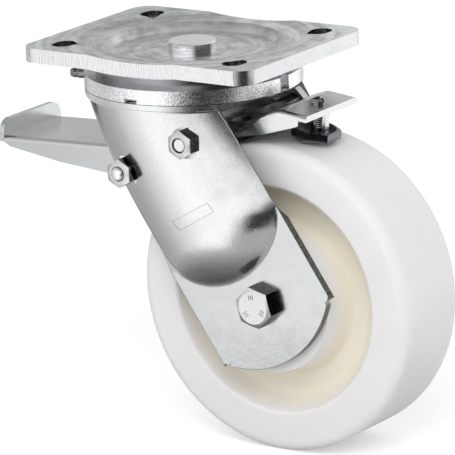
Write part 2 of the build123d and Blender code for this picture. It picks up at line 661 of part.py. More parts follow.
def make_wheel():
    """A cast wheel: thick rim, a round dish on each side and a hub with two bearing seats."""
    half = WHEEL_WIDTH / 2
    t = TREAD_ROUND
    k = 1 - math.sqrt(0.5)
    outer = [Line((WHEEL_RADIUS, 0), (WHEEL_RADIUS, half - t)),
             ThreePointArc((WHEEL_RADIUS, half - t), (WHEEL_RADIUS - k * t, half - k * t),
                           (WHEEL_RADIUS - t, half))]
    dish = Polyline((WHEEL_RADIUS - t, half), (DISH_OUTER, half), (DISH_OUTER - DISH_FLARE, DISH_WEB),
                    (HUB_RADIUS + HUB_FLARE, DISH_WEB), (HUB_RADIUS, HUB_FACE), (BEARING_RADIUS, HUB_FACE),
                    (BEARING_RADIUS, HUB_FACE - BEARING_INSET - BEARING_WIDTH),
                    (HUB_BORE, HUB_FACE - BEARING_INSET - BEARING_WIDTH), (HUB_BORE, 0), (WHEEL_RADIUS, 0))
    profile = Plane.XZ * make_face(Curve() + outer + dish.edges())
    side = revolve(profile, Axis.Z)
    wheel = side + mirror(side, Plane.XY)
    for circle, round_radius in ((DISH_OUTER, DISH_LIP), (HUB_RADIUS + HUB_FLARE, HUB_ROUND),
                                 (DISH_OUTER - DISH_FLARE, DISH_ROUND)):
        rings = wheel.edges().filter_by(GeomType.CIRCLE)
        wheel = fillet([edge for edge in rings if abs(edge.radius - circle) < SHAFT_PLAY], round_radius)
    return on_axle(wheel)


# ---- Pivot bolts ----
def make_pivot(x, z, sink):
    """The bolt and the lock nut of a pivot across the fork, as (bolt, nut)."""
    seat = seat_y(x, z, sink)
    grip = 2 * seat + PIVOT_NUT_HEIGHT - PIVOT_END_SINK
    bolt = hex_bolt(PIVOT_RADIUS, PIVOT_FLATS, PIVOT_HEAD_HEIGHT, grip, 0.8)
    nut = lock_nut(PIVOT_RADIUS, PIVOT_FLATS, PIVOT_NUT_HEIGHT, 1.2)
    place = Pos(x, 0, z)
    return place * along_y(-seat, NEAR) * bolt, place * along_y(seat, NEAR) * Rot(0, 0, 30) * nut


def make_sleeves(x, z, inner):
    """The two spacer tubes of a pivot, from the brake part out to the legs."""
    tube = across(x, z, SLEEVE_RADIUS, -WHEEL_RADIUS, -inner)
    tube -= across(x, z, PIVOT_RADIUS, -WHEEL_RADIUS, 0)
    near = tube & envelope(SHEET)
    return [near, mirror(near, Plane.XZ)]


# ---- Brake ----
def pad_frame(radial):
    """The brake pad's own plane, square to a tilted line through the wheel's centre."""
    tilt = math.radians(PAD_TILT)
    x = OFFSET + radial * math.sin(tilt) + PAD_SHIFT * math.cos(tilt)
    z = AXLE_Z + radial * math.cos(tilt) - PAD_SHIFT * math.sin(tilt)
    return Pos(x, 0, z) * Rot(0, PAD_TILT, 0)


def nose_z(x, drop):
    """Height of the nose plate's top face at x, less a drop square to it."""
    tilt = math.radians(PAD_TILT)
    return AXLE_Z + (NOSE_RADIAL - drop - (x - OFFSET) * math.sin(tilt)) / math.cos(tilt)


def smooth_corners(face, corners):
    """Rounds chosen corners of an outline, given as ((x, z), radius)."""
    for (x, z), radius in corners:
        corner = min(face.vertices(), key=lambda v: (v.X - x) ** 2 + (v.Y - z) ** 2)
        face = fillet(corner, radius)
    return face


def round_folds(solid, half, x_from, x_to, z_from):
    """Rounds the long outer edges where a channel's web turns down into its side plates."""
    folds = []
    for edge in solid.edges():
        middle = edge @ 0.5
        run = abs((edge @ 0).X - (edge @ 1).X)
        on_side = abs(abs(middle.Y) - half) < 0.01
        if on_side and run > 0.5 and x_from < middle.X < x_to and middle.Z > z_from(middle.X):
            folds.append(edge)
    return fillet(folds, FOLD_RADIUS)


def pivot_eye(x, z, radius, half):
    """The round eye of a channel's side plates about a pivot."""
    return across(x, z, radius, -half, half)


def arm_web():
    """The arm's top line over the wheel as (x, z) points, from the nose end to the web's end."""
    heel_x = OFFSET + NOSE_HEEL
    return [(NOSE_END_X, nose_z(NOSE_END_X, 0)), (heel_x, nose_z(heel_x, 0)),
            (OFFSET, TREAD_Z + WEB_NOSE_RISE), (OFFSET - WEB_HIGH_BACK, TREAD_Z + WEB_HIGH_RISE),
            (OFFSET - WEB_LOW_BACK, TREAD_Z + WEB_LOW_RISE), (WEB_END_X, ARM_TOP)]


def underside(path, thickness):
    """The lower line of a bent sheet: its top line moved down square to its runs and mitred."""
    normals = []
    for (x0, z0), (x1, z1) in zip(path, path[1:]):
        normals.append(Vector(z0 - z1, x1 - x0).normalized())
    line = []
    for (x, z), before, after in zip(path, normals[:1] + normals, normals + normals[-1:]):
        shift = (before + after) * (thickness / (1 + before.dot(after)))
        line.append((x + shift.X, z + shift.Y))
    return line


def height_at(path, x):
    """Height at x of a line of (x, z) points that runs towards -X."""
    for (x1, z1), (x0, z0) in zip(path, path[1:]):
        if x0 <= x <= x1:
            return z0 + (z1 - z0) * (x - x0) / (x1 - x0)
    return path[-1][1]


def arm_face():
    """The arm seen from the side."""
    web = arm_web()
    front = [(FRONT_WEB_X + FRONT_SLOPE, ARM_TOP), (FRONT_WEB_X, FRONT_TOP), (ARM_FRONT_X, FRONT_TOP),
             (ARM_FRONT_X, FRONT_TOP - FRONT_SIDE_DEPTH),
             (ARM_FRONT_X + FRONT_FOOT_RUN, TREAD_Z + FRONT_FOOT_RISE)]
    lug = [(ROLLER_X - LUG_ROOT, ARM_FOOT), (ROLLER_X - LUG_SHOULDER, ROLLER_Z - LUG_SHOULDER_DROP),
           (ROLLER_X - LUG_TIP, ROLLER_Z - LUG_TIP_DROP), (ROLLER_X + LUG_TIP, ROLLER_Z - LUG_TIP_DROP),
           (ROLLER_X + LUG_SHOULDER, ROLLER_Z - LUG_SHOULDER_DROP), (ROLLER_X + LUG_ROOT, ARM_FOOT)]
    side_x = OFFSET + NOSE_SIDE
    rear = [(ARM_PIVOT_X, ARM_FOOT), (OFFSET - SIDE_MIDDLE_BACK, TREAD_Z + SIDE_MIDDLE_RISE),
            (OFFSET - SIDE_REAR_BACK, TREAD_Z + SIDE_REAR_RISE), (side_x, TREAD_Z + NOSE_SIDE_RISE),
            (side_x, nose_z(side_x, BRAKE_SHEET)), (NOSE_END_X, nose_z(NOSE_END_X, BRAKE_SHEET))]
    face = make_face(Polyline(*web, *front, *lug, *rear, close=True))
    rounds = [(web[1], WEB_HEEL_ROUND), (web[4], WEB_LOW_ROUND), (web[3], WEB_HIGH_ROUND)]
    return smooth_corners(face, rounds)


def arm_void():
    """What is open between the arm's side plates, below its two webs."""
    web = arm_web()
    beyond = NOSE_END_X + OVERLAP
    under = underside([(beyond, nose_z(beyond, 0))] + web[1:], BRAKE_SHEET)
    front_end = FRONT_WEB_X + FRONT_WEB_LAP
    front_z = FRONT_TOP - BRAKE_SHEET
    front_x = ARM_FRONT_X - OVERLAP
    front = [(front_end, 0), (front_end, front_z), (front_x, front_z), (front_x, -TOTAL_HEIGHT)]
    return Polyline(*under, (under[-1][0], 0), *front, (under[0][0], -TOTAL_HEIGHT), close=True)


def make_brake_arm():
    """The rocker: two side plates, a web over the wheel, a nose plate and a front tooth."""
    half = ARM_HALF_WIDTH
    inner = half - BRAKE_SHEET
    arm = Pos(0, half, 0) * extrude(Plane.XZ * arm_face(), 2 * half)
    web = arm_web()
    arm = round_folds(arm, half, WEB_END_X, NOSE_END_X, lambda x: height_at(web, x) - FOLD_RADIUS / 2)
    arm += pivot_eye(ARM_PIVOT_X, ARM_PIVOT_Z, EYE_RADIUS, half)
    arm -= side_plate(arm_void(), -inner, inner)
    arm += make_lock_tooth() + make_release_tongue() + make_stop_tab()
    arm -= across(ARM_PIVOT_X, ARM_PIVOT_Z, PIVOT_RADIUS + SHAFT_PLAY, -half - 1, half + 1)
    arm -= across(ROLLER_X, ROLLER_Z, ROLLER_RADIUS, -half - 1, half + 1)
    arm -= pad_frame(NOSE_RADIAL) * Cylinder(SCREW_RADIUS, 4 * BRAKE_SHEET)
    block = Box(NOSE_TRIM_REACH, NOSE_TRIM_BLOCK, NOSE_TRIM_BLOCK)
    for side in (NEAR, FAR):
        corner = pad_frame(NOSE_RADIAL) * Pos(NOSE_TRIM_START, side * half, 0)
        arm -= corner * Rot(0, 0, side * NOSE_TRIM_TURN) * Pos(NOSE_TRIM_REACH, 0, 0) * block
    return arm


def make_lock_tooth():
    """The arm's narrow front strip with its tooth bent up into the lock ring's notches."""
    face = TOOTH_X - BRAKE_SHEET / 2
    root = ARM_FRONT_X + 2 * OVERLAP
    low = FRONT_TOP - BRAKE_SHEET
    outline = Polyline((face, TOOTH_TOP), (face + BRAKE_SHEET, TOOTH_TOP), (face + BRAKE_SHEET, FRONT_TOP),
                       (root, FRONT_TOP), (root, low), (face, low), close=True)
    return side_plate(outline, -TOOTH_WIDTH / 2, TOOTH_WIDTH / 2)


def make_release_tongue():
    """A narrow tongue cut from the web and bent up behind the nose plate."""
    tongue = Box(TONGUE_LENGTH, TONGUE_WIDTH, TONGUE_THICKNESS)
    return Pos(OFFSET - TONGUE_BACK, TONGUE_SIDE, TREAD_Z + TONGUE_RISE) * Rot(0, TONGUE_TURN, 0) * tongue


def make_stop_tab():
    """A small tab bent down from the nose plate that keeps the pad from turning."""
    top = NOSE_RADIAL - BRAKE_SHEET + TAB_LAP
    bottom = WHEEL_RADIUS + PAD_CLEARANCE + PAD_THICKNESS + RUNNING_GAP
    tab = Box(TAB_THICKNESS, TAB_WIDTH, top - bottom)
    return pad_frame((top + bottom) / 2) * Pos(TAB_FORWARD, 0, 0) * tab


def make_brake_screw():
    """The adjusting screw that carries the pad, threaded through the nose plate."""
    start = WHEEL_RADIUS + PAD_CLEARANCE + PAD_THICKNESS
    length = NOSE_RADIAL + SCREW_RISE - start
    r = SCREW_RADIUS
    screw = turned([(0, 0), (r, 0), (r, length - 0.6), (r - 0.6, length), (0, length)])
    screw -= Pos(0, 0, length) * Box(4 * r, SCREW_SLOT_WIDTH, 2 * SCREW_SLOT_DEPTH)
    return pad_frame(start) * screw


def make_brake_pad():
    """The hexagonal pad that the screw presses on the tread."""
    pad = Rot(0, 0, 30) * hexagon(PAD_FLATS, PAD_THICKNESS, 0.8)
    return pad_frame(WHEEL_RADIUS + PAD_CLEARANCE) * pad


def make_cam_roller():
    """The pin across the arm that rides on the pedal's cam."""
    return across(ROLLER_X, ROLLER_Z, ROLLER_RADIUS, -ARM_HALF_WIDTH, ARM_HALF_WIDTH)


def make_brake_cam():
    """The eccentric cam on the pedal's pivot."""
    x, z = PEDAL_PIVOT_X, PEDAL_PIVOT_Z
    hub = across(x, z, CAM_HUB_RADIUS, -PEDAL_INNER, PEDAL_INNER)
    lobe = across(x + CAM_OFFSET, z, CAM_RADIUS, -CAM_HALF_WIDTH, CAM_HALF_WIDTH)
    return hub + lobe - across(x, z, PIVOT_RADIUS + SHAFT_PLAY, -PEDAL_HALF_WIDTH, PEDAL_HALF_WIDTH)


def pedal_face():
    """The pedal seen from the side: a straight top and a skirt that is deepest near the pivot."""
    x, z = PEDAL_PIVOT_X, PEDAL_PIVOT_Z
    bend = (x - PEDAL_PLATE_RUN, z + PEDAL_PLATE_RISE)
    outline = Polyline(
        (PEDAL_END, PEDAL_END_Z), bend, (x - PEDAL_NECK_RUN, z + PEDAL_NECK_RISE), (x, z + PEDAL_EYE),
        (x, z - PEDAL_EYE), (x - SKIRT_DEEP_RUN, z - SKIRT_DEEP), (x - SKIRT_MID_RUN, z - SKIRT_MID),
        (x - SKIRT_END_RUN, z - SKIRT_END), (PEDAL_END, PEDAL_END_Z - BRAKE_SHEET), close=True)
    return smooth_corners(make_face(outline), [(bend, PEDAL_PLATE_ROUND)])


def make_brake_pedal():
    """The foot pedal: a folded channel that narrows in height outwards, with an upturned lip."""
    half = PEDAL_HALF_WIDTH
    t = BRAKE_SHEET
    x, z = PEDAL_PIVOT_X, PEDAL_PIVOT_Z
    pedal = Pos(0, half, 0) * extrude(Plane.XZ * pedal_face(), 2 * half)
    pedal = round_folds(pedal, half, PEDAL_END, x - PEDAL_NECK_RUN - 1, lambda _: PEDAL_END_Z - 1)
    pedal += pivot_eye(x, z, PEDAL_EYE, half)
    plate_x = x - PEDAL_PLATE_RUN
    plate_z = z + PEDAL_PLATE_RISE
    beyond = PEDAL_END - 2 * t
    rear = x + 2 * PEDAL_EYE
    void = Polyline((beyond, PEDAL_END_Z - t), (PEDAL_END, PEDAL_END_Z - t), (plate_x, plate_z - t),
                    (plate_x, 0), (rear, 0), (rear, -TOTAL_HEIGHT), (beyond, -TOTAL_HEIGHT), close=True)
    pedal -= side_plate(void, -PEDAL_INNER, PEDAL_INNER)
    lip = extrude(Plane.YZ * RectangleRounded(2 * half, 2 * LIP_HEIGHT, LIP_CORNER), -t)
    lip &= Pos(-t / 2, 0, LIP_HEIGHT) * Box(2 * t, 4 * half, 2 * LIP_HEIGHT + 2 * t)
    pedal += Pos(PEDAL_END + LIP_LAP, 0, PEDAL_END_Z) * lip
    return pedal - across(x, z, PIVOT_RADIUS + SHAFT_PLAY, -half - 1, half + 1)


def make_all():
    """Every piece by its node name. A list is a group of separate solids."""
    arm_bolt, arm_nut = make_pivot(ARM_PIVOT_X, ARM_PIVOT_Z, ARM_SEAT_SINK)
    pedal_bolt, pedal_nut = make_pivot(PEDAL_PIVOT_X, PEDAL_PIVOT_Z, PEDAL_SEAT_SINK)
    pieces = {
        "top_plate": make_top_plate(),
        "lock_ring": make_lock_ring(),
        "grease_nipple": make_grease_nipple(),
        "king_pin": make_king_pin(),
        "king_pin_nut": make_king_pin_nut(),
        "lower_race": make_lower_race(),
        "upper_balls": ball_row(UPPER_BALL_RADIUS, UPPER_BALL_PITCH, -UPPER_BALL_DEPTH, BALL_SPACING),
        "lower_balls": ball_row(LOWER_BALL_RADIUS, LOWER_BALL_PITCH, -LOWER_BALL_DEPTH, BALL_SPACING),
        "fork": make_fork(),
        "axle_bolt": make_axle_bolt(),
        "axle_nut": make_axle_nut(),
        "axle_tube": make_axle_tube(),
        "axle_washers": make_axle_washers(),
        "wheel": make_wheel(),
        "arm_pivot_bolt": arm_bolt,
        "arm_pivot_nut": arm_nut,
        "arm_pivot_sleeves": make_sleeves(ARM_PIVOT_X, ARM_PIVOT_Z, ARM_HALF_WIDTH + RUNNING_GAP),
        "pedal_pivot_bolt": pedal_bolt,
        "pedal_pivot_nut": pedal_nut,
        "pedal_pivot_sleeves": make_sleeves(PEDAL_PIVOT_X, PEDAL_PIVOT_Z, PEDAL_HALF_WIDTH + RUNNING_GAP),
        "brake_arm": make_brake_arm(),
        "brake_screw": make_brake_screw(),
        "brake_pad": make_brake_pad(),
        "cam_roller": make_cam_roller(),
        "brake_pedal": make_brake_pedal(),
        "brake_cam": make_brake_cam(),
    }
    for name, side in (("near", NEAR), ("far", FAR)):
        pieces[name + "_bearing_inner_ring"] = make_inner_ring(side)
        pieces[name + "_bearing_outer_ring"] = make_outer_ring(side)
        pieces[name + "_bearing_balls"] = make_bearing_balls(side)
        pieces[name + "_bearing_shields"] = make_shields(side)
    return pieces


def write_parts():
    """One STEP file for each node."""
    os.makedirs("parts", exist_ok=True)
    for name, piece in make_all().items():
        solids = piece if isinstance(piece, list) else [piece]
        shape = Compound(children=[s for item in solids for s in item.solids()])
        export_step(shape, "parts/" + name + ".step")


if __name__ == "__main__":
    write_parts()
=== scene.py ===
"""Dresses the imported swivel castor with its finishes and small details, and sets it in a plain studio."""

import math

import bmesh
import bpy
from bpy.props import FloatProperty, IntProperty, PointerProperty, StringProperty
from mathutils import Matrix, Vector
from mathutils.bvhtree import BVHTree


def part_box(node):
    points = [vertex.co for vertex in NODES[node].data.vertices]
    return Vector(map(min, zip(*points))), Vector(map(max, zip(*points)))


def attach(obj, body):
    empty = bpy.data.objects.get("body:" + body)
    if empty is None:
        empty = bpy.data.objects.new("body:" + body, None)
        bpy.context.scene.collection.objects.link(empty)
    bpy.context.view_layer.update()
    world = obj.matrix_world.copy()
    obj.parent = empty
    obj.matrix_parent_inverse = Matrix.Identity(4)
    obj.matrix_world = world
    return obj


bl_info = {
    "name": "Swivel castor",
    "version": (1, 0, 0),
    "blender": (4, 5, 0),
    "location": "3D View > Sidebar > Castor",
    "description": "Finishes, small details and a studio for a braked swivel castor",
    "category": "Object",
}

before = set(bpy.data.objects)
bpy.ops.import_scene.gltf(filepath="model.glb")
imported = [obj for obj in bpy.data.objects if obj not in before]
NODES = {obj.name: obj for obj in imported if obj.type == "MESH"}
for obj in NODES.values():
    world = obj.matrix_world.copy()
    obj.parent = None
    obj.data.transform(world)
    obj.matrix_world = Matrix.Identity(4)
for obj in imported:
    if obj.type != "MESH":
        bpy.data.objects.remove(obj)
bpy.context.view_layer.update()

MM = 0.001

# Places on the castor, from its solids.
WHEEL_LOW, WHEEL_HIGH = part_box("wheel")
AXLE = (WHEEL_LOW + WHEEL_HIGH) / 2
WHEEL_RADIUS = (WHEEL_HIGH.z - WHEEL_LOW.z) / 2
FLOOR_Z = WHEEL_LOW.z
PLATE_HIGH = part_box("top_plate")[1]

# A leg, as in the part: its own directions, its outline about the axle and its flat outer face.
LEG_LEAN = math.radians(34.0)
ACROSS_LEG = Vector((math.cos(LEG_LEAN), 0, math.sin(LEG_LEAN)))
UP_LEG = Vector((-math.sin(LEG_LEAN), 0, math.cos(LEG_LEAN)))
LEG_HALF_WIDTH = 39.5 * MM
LEG_FLAT = 35.4 * MM
LEG_END = 31.5 * MM
LEG_END_RADIUS = 55.0 * MM
LEG_END_START = (-10.0 * MM, -12.0 * MM)

# The plate's slots, from its middle to theirs, and half of a slot's width and length.
SLOT_PLACE = (52.5 * MM, 38.75 * MM)
SLOT_HALF = (5.5 * MM, 7.0 * MM)

# Which pieces get which finish. The bearings and balls are polished steel, as bright as the fasteners.
SHEET_NODES = ("brake_arm", "lower_race")
TURNED_NODES = ("king_pin_nut", "axle_nut", "axle_tube", "axle_washers", "arm_pivot_bolt", "cam_roller",
                "arm_pivot_sleeves", "pedal_pivot_bolt", "pedal_pivot_sleeves", "brake_cam")
BEARING_NODES = tuple(name for name in sorted(NODES) if "bearing" in name or name.endswith("_balls"))
NEAR_HEX_NODES = ("axle_bolt", "arm_pivot_nut", "pedal_pivot_nut")
TONED_NODES = {
    "brake_pad": ("Dark zinc on the brake pad", "#74767A"),
    # The grease nipple's darker colour is painted shade.
    "grease_nipple": ("Zinc on the grease nipple with painted shade", "#7B7D80"),
    "brake_screw": ("Dark zinc on the brake screw", "#85878A"),
    "king_pin": ("Clear zinc on the king pin", "#F0F2F3"),
}

# The raised marks: how far their bars are sunk in the steel, half of a bar's width, the turns of the three
# groups in degrees, half the length of a group's strokes, as shares of the length that is set, the stamp's
# corners as x and z in mm, and how far to the near side the search for the leg's skin starts.
MARK_SINK, STAMP_SINK = 0.1 * MM, 0.15 * MM
MARK_HALF_WIDTH, STAMP_HALF_WIDTH = 0.28 * MM, 0.25 * MM
MARK_TURNS = (100, 220, 340)
MARK_REACH = {-1: 0.5, 0: 0.35, 1: 0.5}
STAMP_CORNERS = ((16.1, -83.9), (38.9, -71.4), (42.1, -75.7), (20.2, -88.2))
RAY_START = 200.0 * MM

# The threads: pieces of one turn, and the plain end that the axle's thread leaves free.
THREAD_PIECES = 24
AXLE_CHAMFER = 0.8 * MM

# The pedal bolt's tip: how deep it stands in the nut, its straight collar, its dome's angles and its sides.
TIP_ROOT = 0.5 * MM
TIP_COLLAR = 0.3 * MM
TIP_ANGLES = (20, 40, 58, 74, 84)
TIP_SIDES = 40

# The studio: half of the floor's side in metres, the glow that keeps the floor pale behind the castor, the
# softbox, and where the camera aims, with its small step to the right and up.
WHITE = "#FFFFFF"
FLOOR_COLOUR = "#E7E7E7"
FLOOR_HALF = 8.0
FLOOR_GLOW = 0.42
SOFTBOX_PLACE = (0.8, -1.4, 1.3)
SOFTBOX_AIM = (0, 0, -0.1)
SOFTBOX_SIDE = 1.2
CAMERA_AIM = Vector((20, 0, -100)) * MM
CAMERA_STEP = (-2.64 * MM, 1.83 * MM)

# What the plating mirrors: a round tent of grey levels, as (degrees from +X, level), with one row for each
# height angle in degrees. The row at -90 is the ground near the castor.
TENT_RADIUS = 0.7
TENT_TONES = {
    -90: ((-180, 0.50), (-155, 0.66), (-144, 0.88), (-134, 1.02), (-127, 1.16), (-119, 1.32), (-112, 1.45),
          (-100, 1.48), (-88, 1.42), (-82, 1.00), (-76, 0.66), (-66, 0.57), (-45, 0.57), (-12, 0.50),
          (12, 0.40), (38, 1.20), (75, 1.20), (100, 0.60), (150, 0.42), (180, 0.50)),
    -17: ((-180, 0.75), (-160, 0.70), (-134, 0.88), (-128, 0.98), (-124, 1.24), (-119, 1.20), (-112, 1.40),
          (-92, 1.42), (-84, 1.00), (-75, 0.45), (-62, 0.08), (-50, 0.02), (-22, 0.02), (-4, 0.70),
          (17, 1.05), (36, 1.38), (75, 1.40), (100, 0.75), (150, 0.45), (168, 0.80), (180, 0.75)),
    -4: ((-180, 0.70), (-160, 0.70), (-134, 1.10), (-112, 1.42), (-78, 1.42), (-66, 1.00), (-56, 0.15),
         (-22, 0.05), (-2, 0.60), (17, 0.90), (36, 1.10), (75, 1.20), (100, 0.70), (150, 0.50), (180, 0.70)),
    10: ((-180, 0.50), (-140, 1.05), (-90, 1.40), (-62, 1.25), (-50, 0.60), (-38, 0.10), (30, 0.10),
         (52, 0.95), (85, 0.85), (104, 0.55), (116, 0.80), (126, 0.62), (140, 0.76), (160, 0.50),
         (180, 0.50)),
    28: ((-180, 0.45), (-140, 0.90), (-90, 0.95), (-58, 0.80), (-44, 0.10), (30, 0.08), (52, 0.80),
         (80, 0.90), (100, 0.80), (125, 0.50), (180, 0.45)),
    45: ((-180, 0.60), (-136, 0.40), (-90, 0.45), (0, 0.70), (90, 0.80), (150, 0.70), (180, 0.60)),
    90: ((-180, 0.50), (180, 0.50)),
}
TENT_FOOT, TENT_TOP = -16, 90
TENT_ROWS, TENT_STEPS = 44, 120

# The ground inside the tent, in metres from the swivel axis: the height angle whose row it follows, and the
# highest level that the castor's own shade leaves it.
GROUND_ROWS = 60
GROUND_LIFT = 0.5 * MM
GROUND_TURN = ((0.46, -90), (0.60, -17))
GROUND_SHADE = ((0.030, 0.12), (0.078, 0.22), (0.100, 0.34), (0.115, 0.41), (0.140, 0.52), (0.162, 0.70),
                (0.188, 1.10), (0.210, 1.42), (0.240, 1.50))

# A low dark card on the ground beside the wheel, which gives the fork's dome its dark side: its middle,
# radius, ends in degrees, top and level, and the shares of it over which its two ends and its top fade out.
CARD_MIDDLE = (60.0 * MM, -45.0 * MM)
CARD_RADIUS = 250.0 * MM
CARD_ENDS = (-84.0, -30.0)
CARD_TOP = -58.0 * MM
CARD_TONE = 0.03
CARD_FADES = (0.2, 0.35, 0.25)
CARD_STEPS, CARD_ROWS = 40, 24


# ---- Small tools ----
def linear(hex_colour):
    """An sRGB hex colour as linear red, green, blue and alpha."""
    values = [int(hex_colour[i:i + 2], 16) / 255 for i in (1, 3, 5)]
    return tuple(v / 12.92 if v <= 0.04045 else ((v + 0.055) / 1.055) ** 2.4 for v in values) + (1.0,)


def add_node(tree, kind, inputs=(), **settings):
    """Adds a node with its own settings. Its inputs, in order or by name, are values, hex colours, sockets to
    link, or nodes to link by their first output in use."""
    node = tree.nodes.new(kind)
    for name, value in settings.items():
        setattr(node, name, value)
    for name, value in inputs.items() if isinstance(inputs, dict) else enumerate(inputs):
        if isinstance(value, bpy.types.Node):
            value = next(socket for socket in value.outputs if socket.enabled)
        if isinstance(value, bpy.types.NodeSocket):
            tree.links.new(value, node.inputs[name])
        else:
            node.inputs[name].default_value = linear(value) if isinstance(value, str) else value
    return node


def empty_material(name):
    """A material with no nodes in it yet."""
    material = bpy.data.materials.new(name)
    material.use_nodes = True
    material.node_tree.nodes.clear()
    return material


def give(names, material):
    """Puts one material on each of these CAD nodes."""
    for name in names:
        mesh = NODES[name].data
        mesh.materials.clear()
        mesh.materials.append(material)


def between(rows, value):
    """Eased interpolation in a list of (place, level) pairs, level beyond its ends."""
    for (low, first), (high, second) in zip(rows, rows[1:]):
        if value <= high:
            share = max(0.0, (value - low) / (high - low))
            share = share * share * (3 - 2 * share)
            return first + (second - first) * share
    return rows[-1][1]


# ---- Finishes ----
# A Map Range with these settings eases from one level to the other and stays within them, and a Mix with the
# others blends colours. A spread below is the noise's limits, and the levels there unless those are 0 and 1.
SOFT = {"interpolation_type": "SMOOTHSTEP"}
COLOURS = {"data_type": "RGBA"}

# Where most of the noise's values lie.
CLOUD_SPREAD = (0.35, 0.68)

# What a finish makes of the roughness setting, in its clearest and in its dullest patches.
SHEET_GLOSS = (0.8, 1.25)
PLATE_GLOSS = (0.7, 1.3)
TURNED_GLOSS = (0.45, 0.8)
ROLLED_GLOSS = (0.6, 1.0)
NYLON_GLOSS = (0.85, 1.15)

# The crystals of the frost and the pits of the rolled ring are finer than this size in mm, and are drawn this
# coarse so that they show.
FROST_SIZE = 1.1

# The fork's shades, and where they change: the frost, a painted reflection on the flat of a leg, darker at
# its middle and lighter towards its lower end, and the torn steel of a sheared edge.
FROST_COLOURS = {"A": "#D1D3D4", "B": "#D6D8D9"}
FROST_SPREAD = (0.40, 0.60)
FLAT_REFLECTION_COLOURS = {"A": "#BEC0C1", "B": "#F2F4F5"}
FLAT_REFLECTION_HEIGHTS = (-142.0 * MM, -174.0 * MM)
FLAT_MARGIN = (0.6 * MM, 0.2 * MM)
TORN_COLOUR = "#55575A"
TORN_MARGIN = (0.3 * MM, 0.1 * MM)
TORN_SPREAD = (0.3, 0.7, 1.0, 0.6)
TORN_DULLER = 0.2

# The plate's shades, and where they change: the clear and the smeared parts of its top, the burnt walls of
# the slots, and the painted shade on the neck below the dish.
SMEAR_COLOURS = {"A": "#E0E2E3", "B": "#AAACAD"}
SMEAR_SPREAD = (0.40, 0.62)
SMEAR_SHARES = (0.6, 0.4)
PLATE_SPREAD = (0.55, 1.05)
PLATE_MARGIN = 0.5 * MM
PLATE_EDGE = 0.2 * MM
PLATE_EDGE_DULLER = 0.12
BURNT_COLOUR = "#6A6C6E"
BURNT_SPREAD = (0.46, 0.60, 1.0, 0.1)
SLOT_MARGIN = (1.06, 1.02)
SLOT_HEIGHTS = (-0.1 * MM, -0.5 * MM)
NECK_SHADE_COLOUR = "#8E9092"
NECK_SHADE_HEIGHTS = (-8.5 * MM, -9.5 * MM)

# A cold-formed head or nut: its bright face, and the painted shade on its flats, which lie between these
# depths behind it.
HEX_FACE_AND_FLAT_SHADE_COLOURS = {"A": "#C2C4C5", "B": "#3C3D3F"}
FLATS_SHADE_START = (0.7 * MM, 1.3 * MM)
FLATS_SHADE_END = (14.0 * MM, 12.0 * MM)
FLATS_SHADE_SPREAD = (0.45, 0.7, 1.0, 0.7)

# The rolled ring: its pits and its grains.
ROLLED_COLOURS = {"A": "#D4D6D7", "B": "#EEF0F1"}
ROLLED_SPREAD = (0.44, 0.56)

# The nylon's dish, as shares of the wheel's radius and half width, and its paler and darker patches.
DISH_RADII = (0.82, 0.62)
DISH_DEPTHS = (0.84, 0.45)
DISH_SPREAD = (0.1, 0.75, 0.8, 1.0)
SKIMMED_SPREAD = (0.3, 0.7)


def new_finish(name):
    """A material, its tree, and the place on the piece in the castor's own frame, in metres."""
    material = empty_material(name)
    return material, material.node_tree, add_node(material.node_tree, "ShaderNodeTexCoord").outputs["Object"]


def grain(tree, place, size, stretch=(1, 1, 1), detail=2.0):
    """Noise whose patches are about this many millimetres across, drawn out by stretch."""
    scaled = add_node(tree, "ShaderNodeMapping", {"Vector": place, "Scale": [1 / s for s in stretch]})
    return add_node(tree, "ShaderNodeTexNoise", {"Vector": scaled, "Scale": 1 / (size * MM), "Detail": detail,
                                                 "Roughness": 0.6})


def relief(tree, place, size, depth, detail=2.0, under=None):
    """Bumps of this size and depth in millimetres, on top of another relief if one is given."""
    sockets = {"Height": grain(tree, place, size, detail=detail), "Strength": 1.0, "Distance": depth * MM}
    if under:
        sockets["Normal"] = under
    return add_node(tree, "ShaderNodeBump", sockets)


def clouded(tree, place, size, roughness, shares):
    """A roughness that drifts between two shares of its setting, in patches of this many millimetres."""
    cloud = grain(tree, place, size, detail=4.0)
    levels = [roughness * share for share in shares]
    return add_node(tree, "ShaderNodeMapRange", (cloud, *CLOUD_SPREAD, *levels), **SOFT)


def side_distance(tree, place, middle):
    """How far a place lies from this point, as seen from the castor's side."""
    away = add_node(tree, "ShaderNodeVectorMath", (place, middle), operation="SUBTRACT")
    flat = add_node(tree, "ShaderNodeVectorMath", (away, (1, 0, 1)), operation="MULTIPLY")
    return add_node(tree, "ShaderNodeVectorMath", (flat,), operation="LENGTH")


def torn_edge(tree, place, settings, edge, stretch, under):
    """Lines torn down a sheared edge: their pattern, and their bumps on top of another relief."""
    tear = grain(tree, place, settings.tear_size, stretch=stretch, detail=3.0)
    lines = add_node(tree, "ShaderNodeMath", (tear, edge), operation="MULTIPLY")
    return tear, add_node(tree, "ShaderNodeBump", {"Height": lines, "Strength": 1.0, "Normal": under,
                                                   "Distance": settings.tear_depth * MM})


def plating(material, roughness, normal, colour):
    """The metal itself, on the pattern that a finish has worked out."""
    tree = material.node_tree
    metal = add_node(tree, "ShaderNodeBsdfPrincipled", {"Base Color": colour, "Metallic": 1.0,
                                                        "Roughness": roughness, "Normal": normal})
    add_node(tree, "ShaderNodeOutputMaterial", {"Surface": metal})
    return material


def sheet_zinc(name, settings, colour=None):
    """Bright zinc electroplate over pressed sheet: a blurred mirror with the sheet's own fine grain in it."""
    material, tree, place = new_finish(name)
    gloss = clouded(tree, place, settings.cloud_size, settings.roughness, SHEET_GLOSS)
    waves = relief(tree, place, settings.wave_size, settings.wave_depth)
    fine = relief(tree, place, settings.grain_size, settings.grain_depth, detail=3.0, under=waves)
    return plating(material, gloss, fine, colour or settings.sheet_colour)


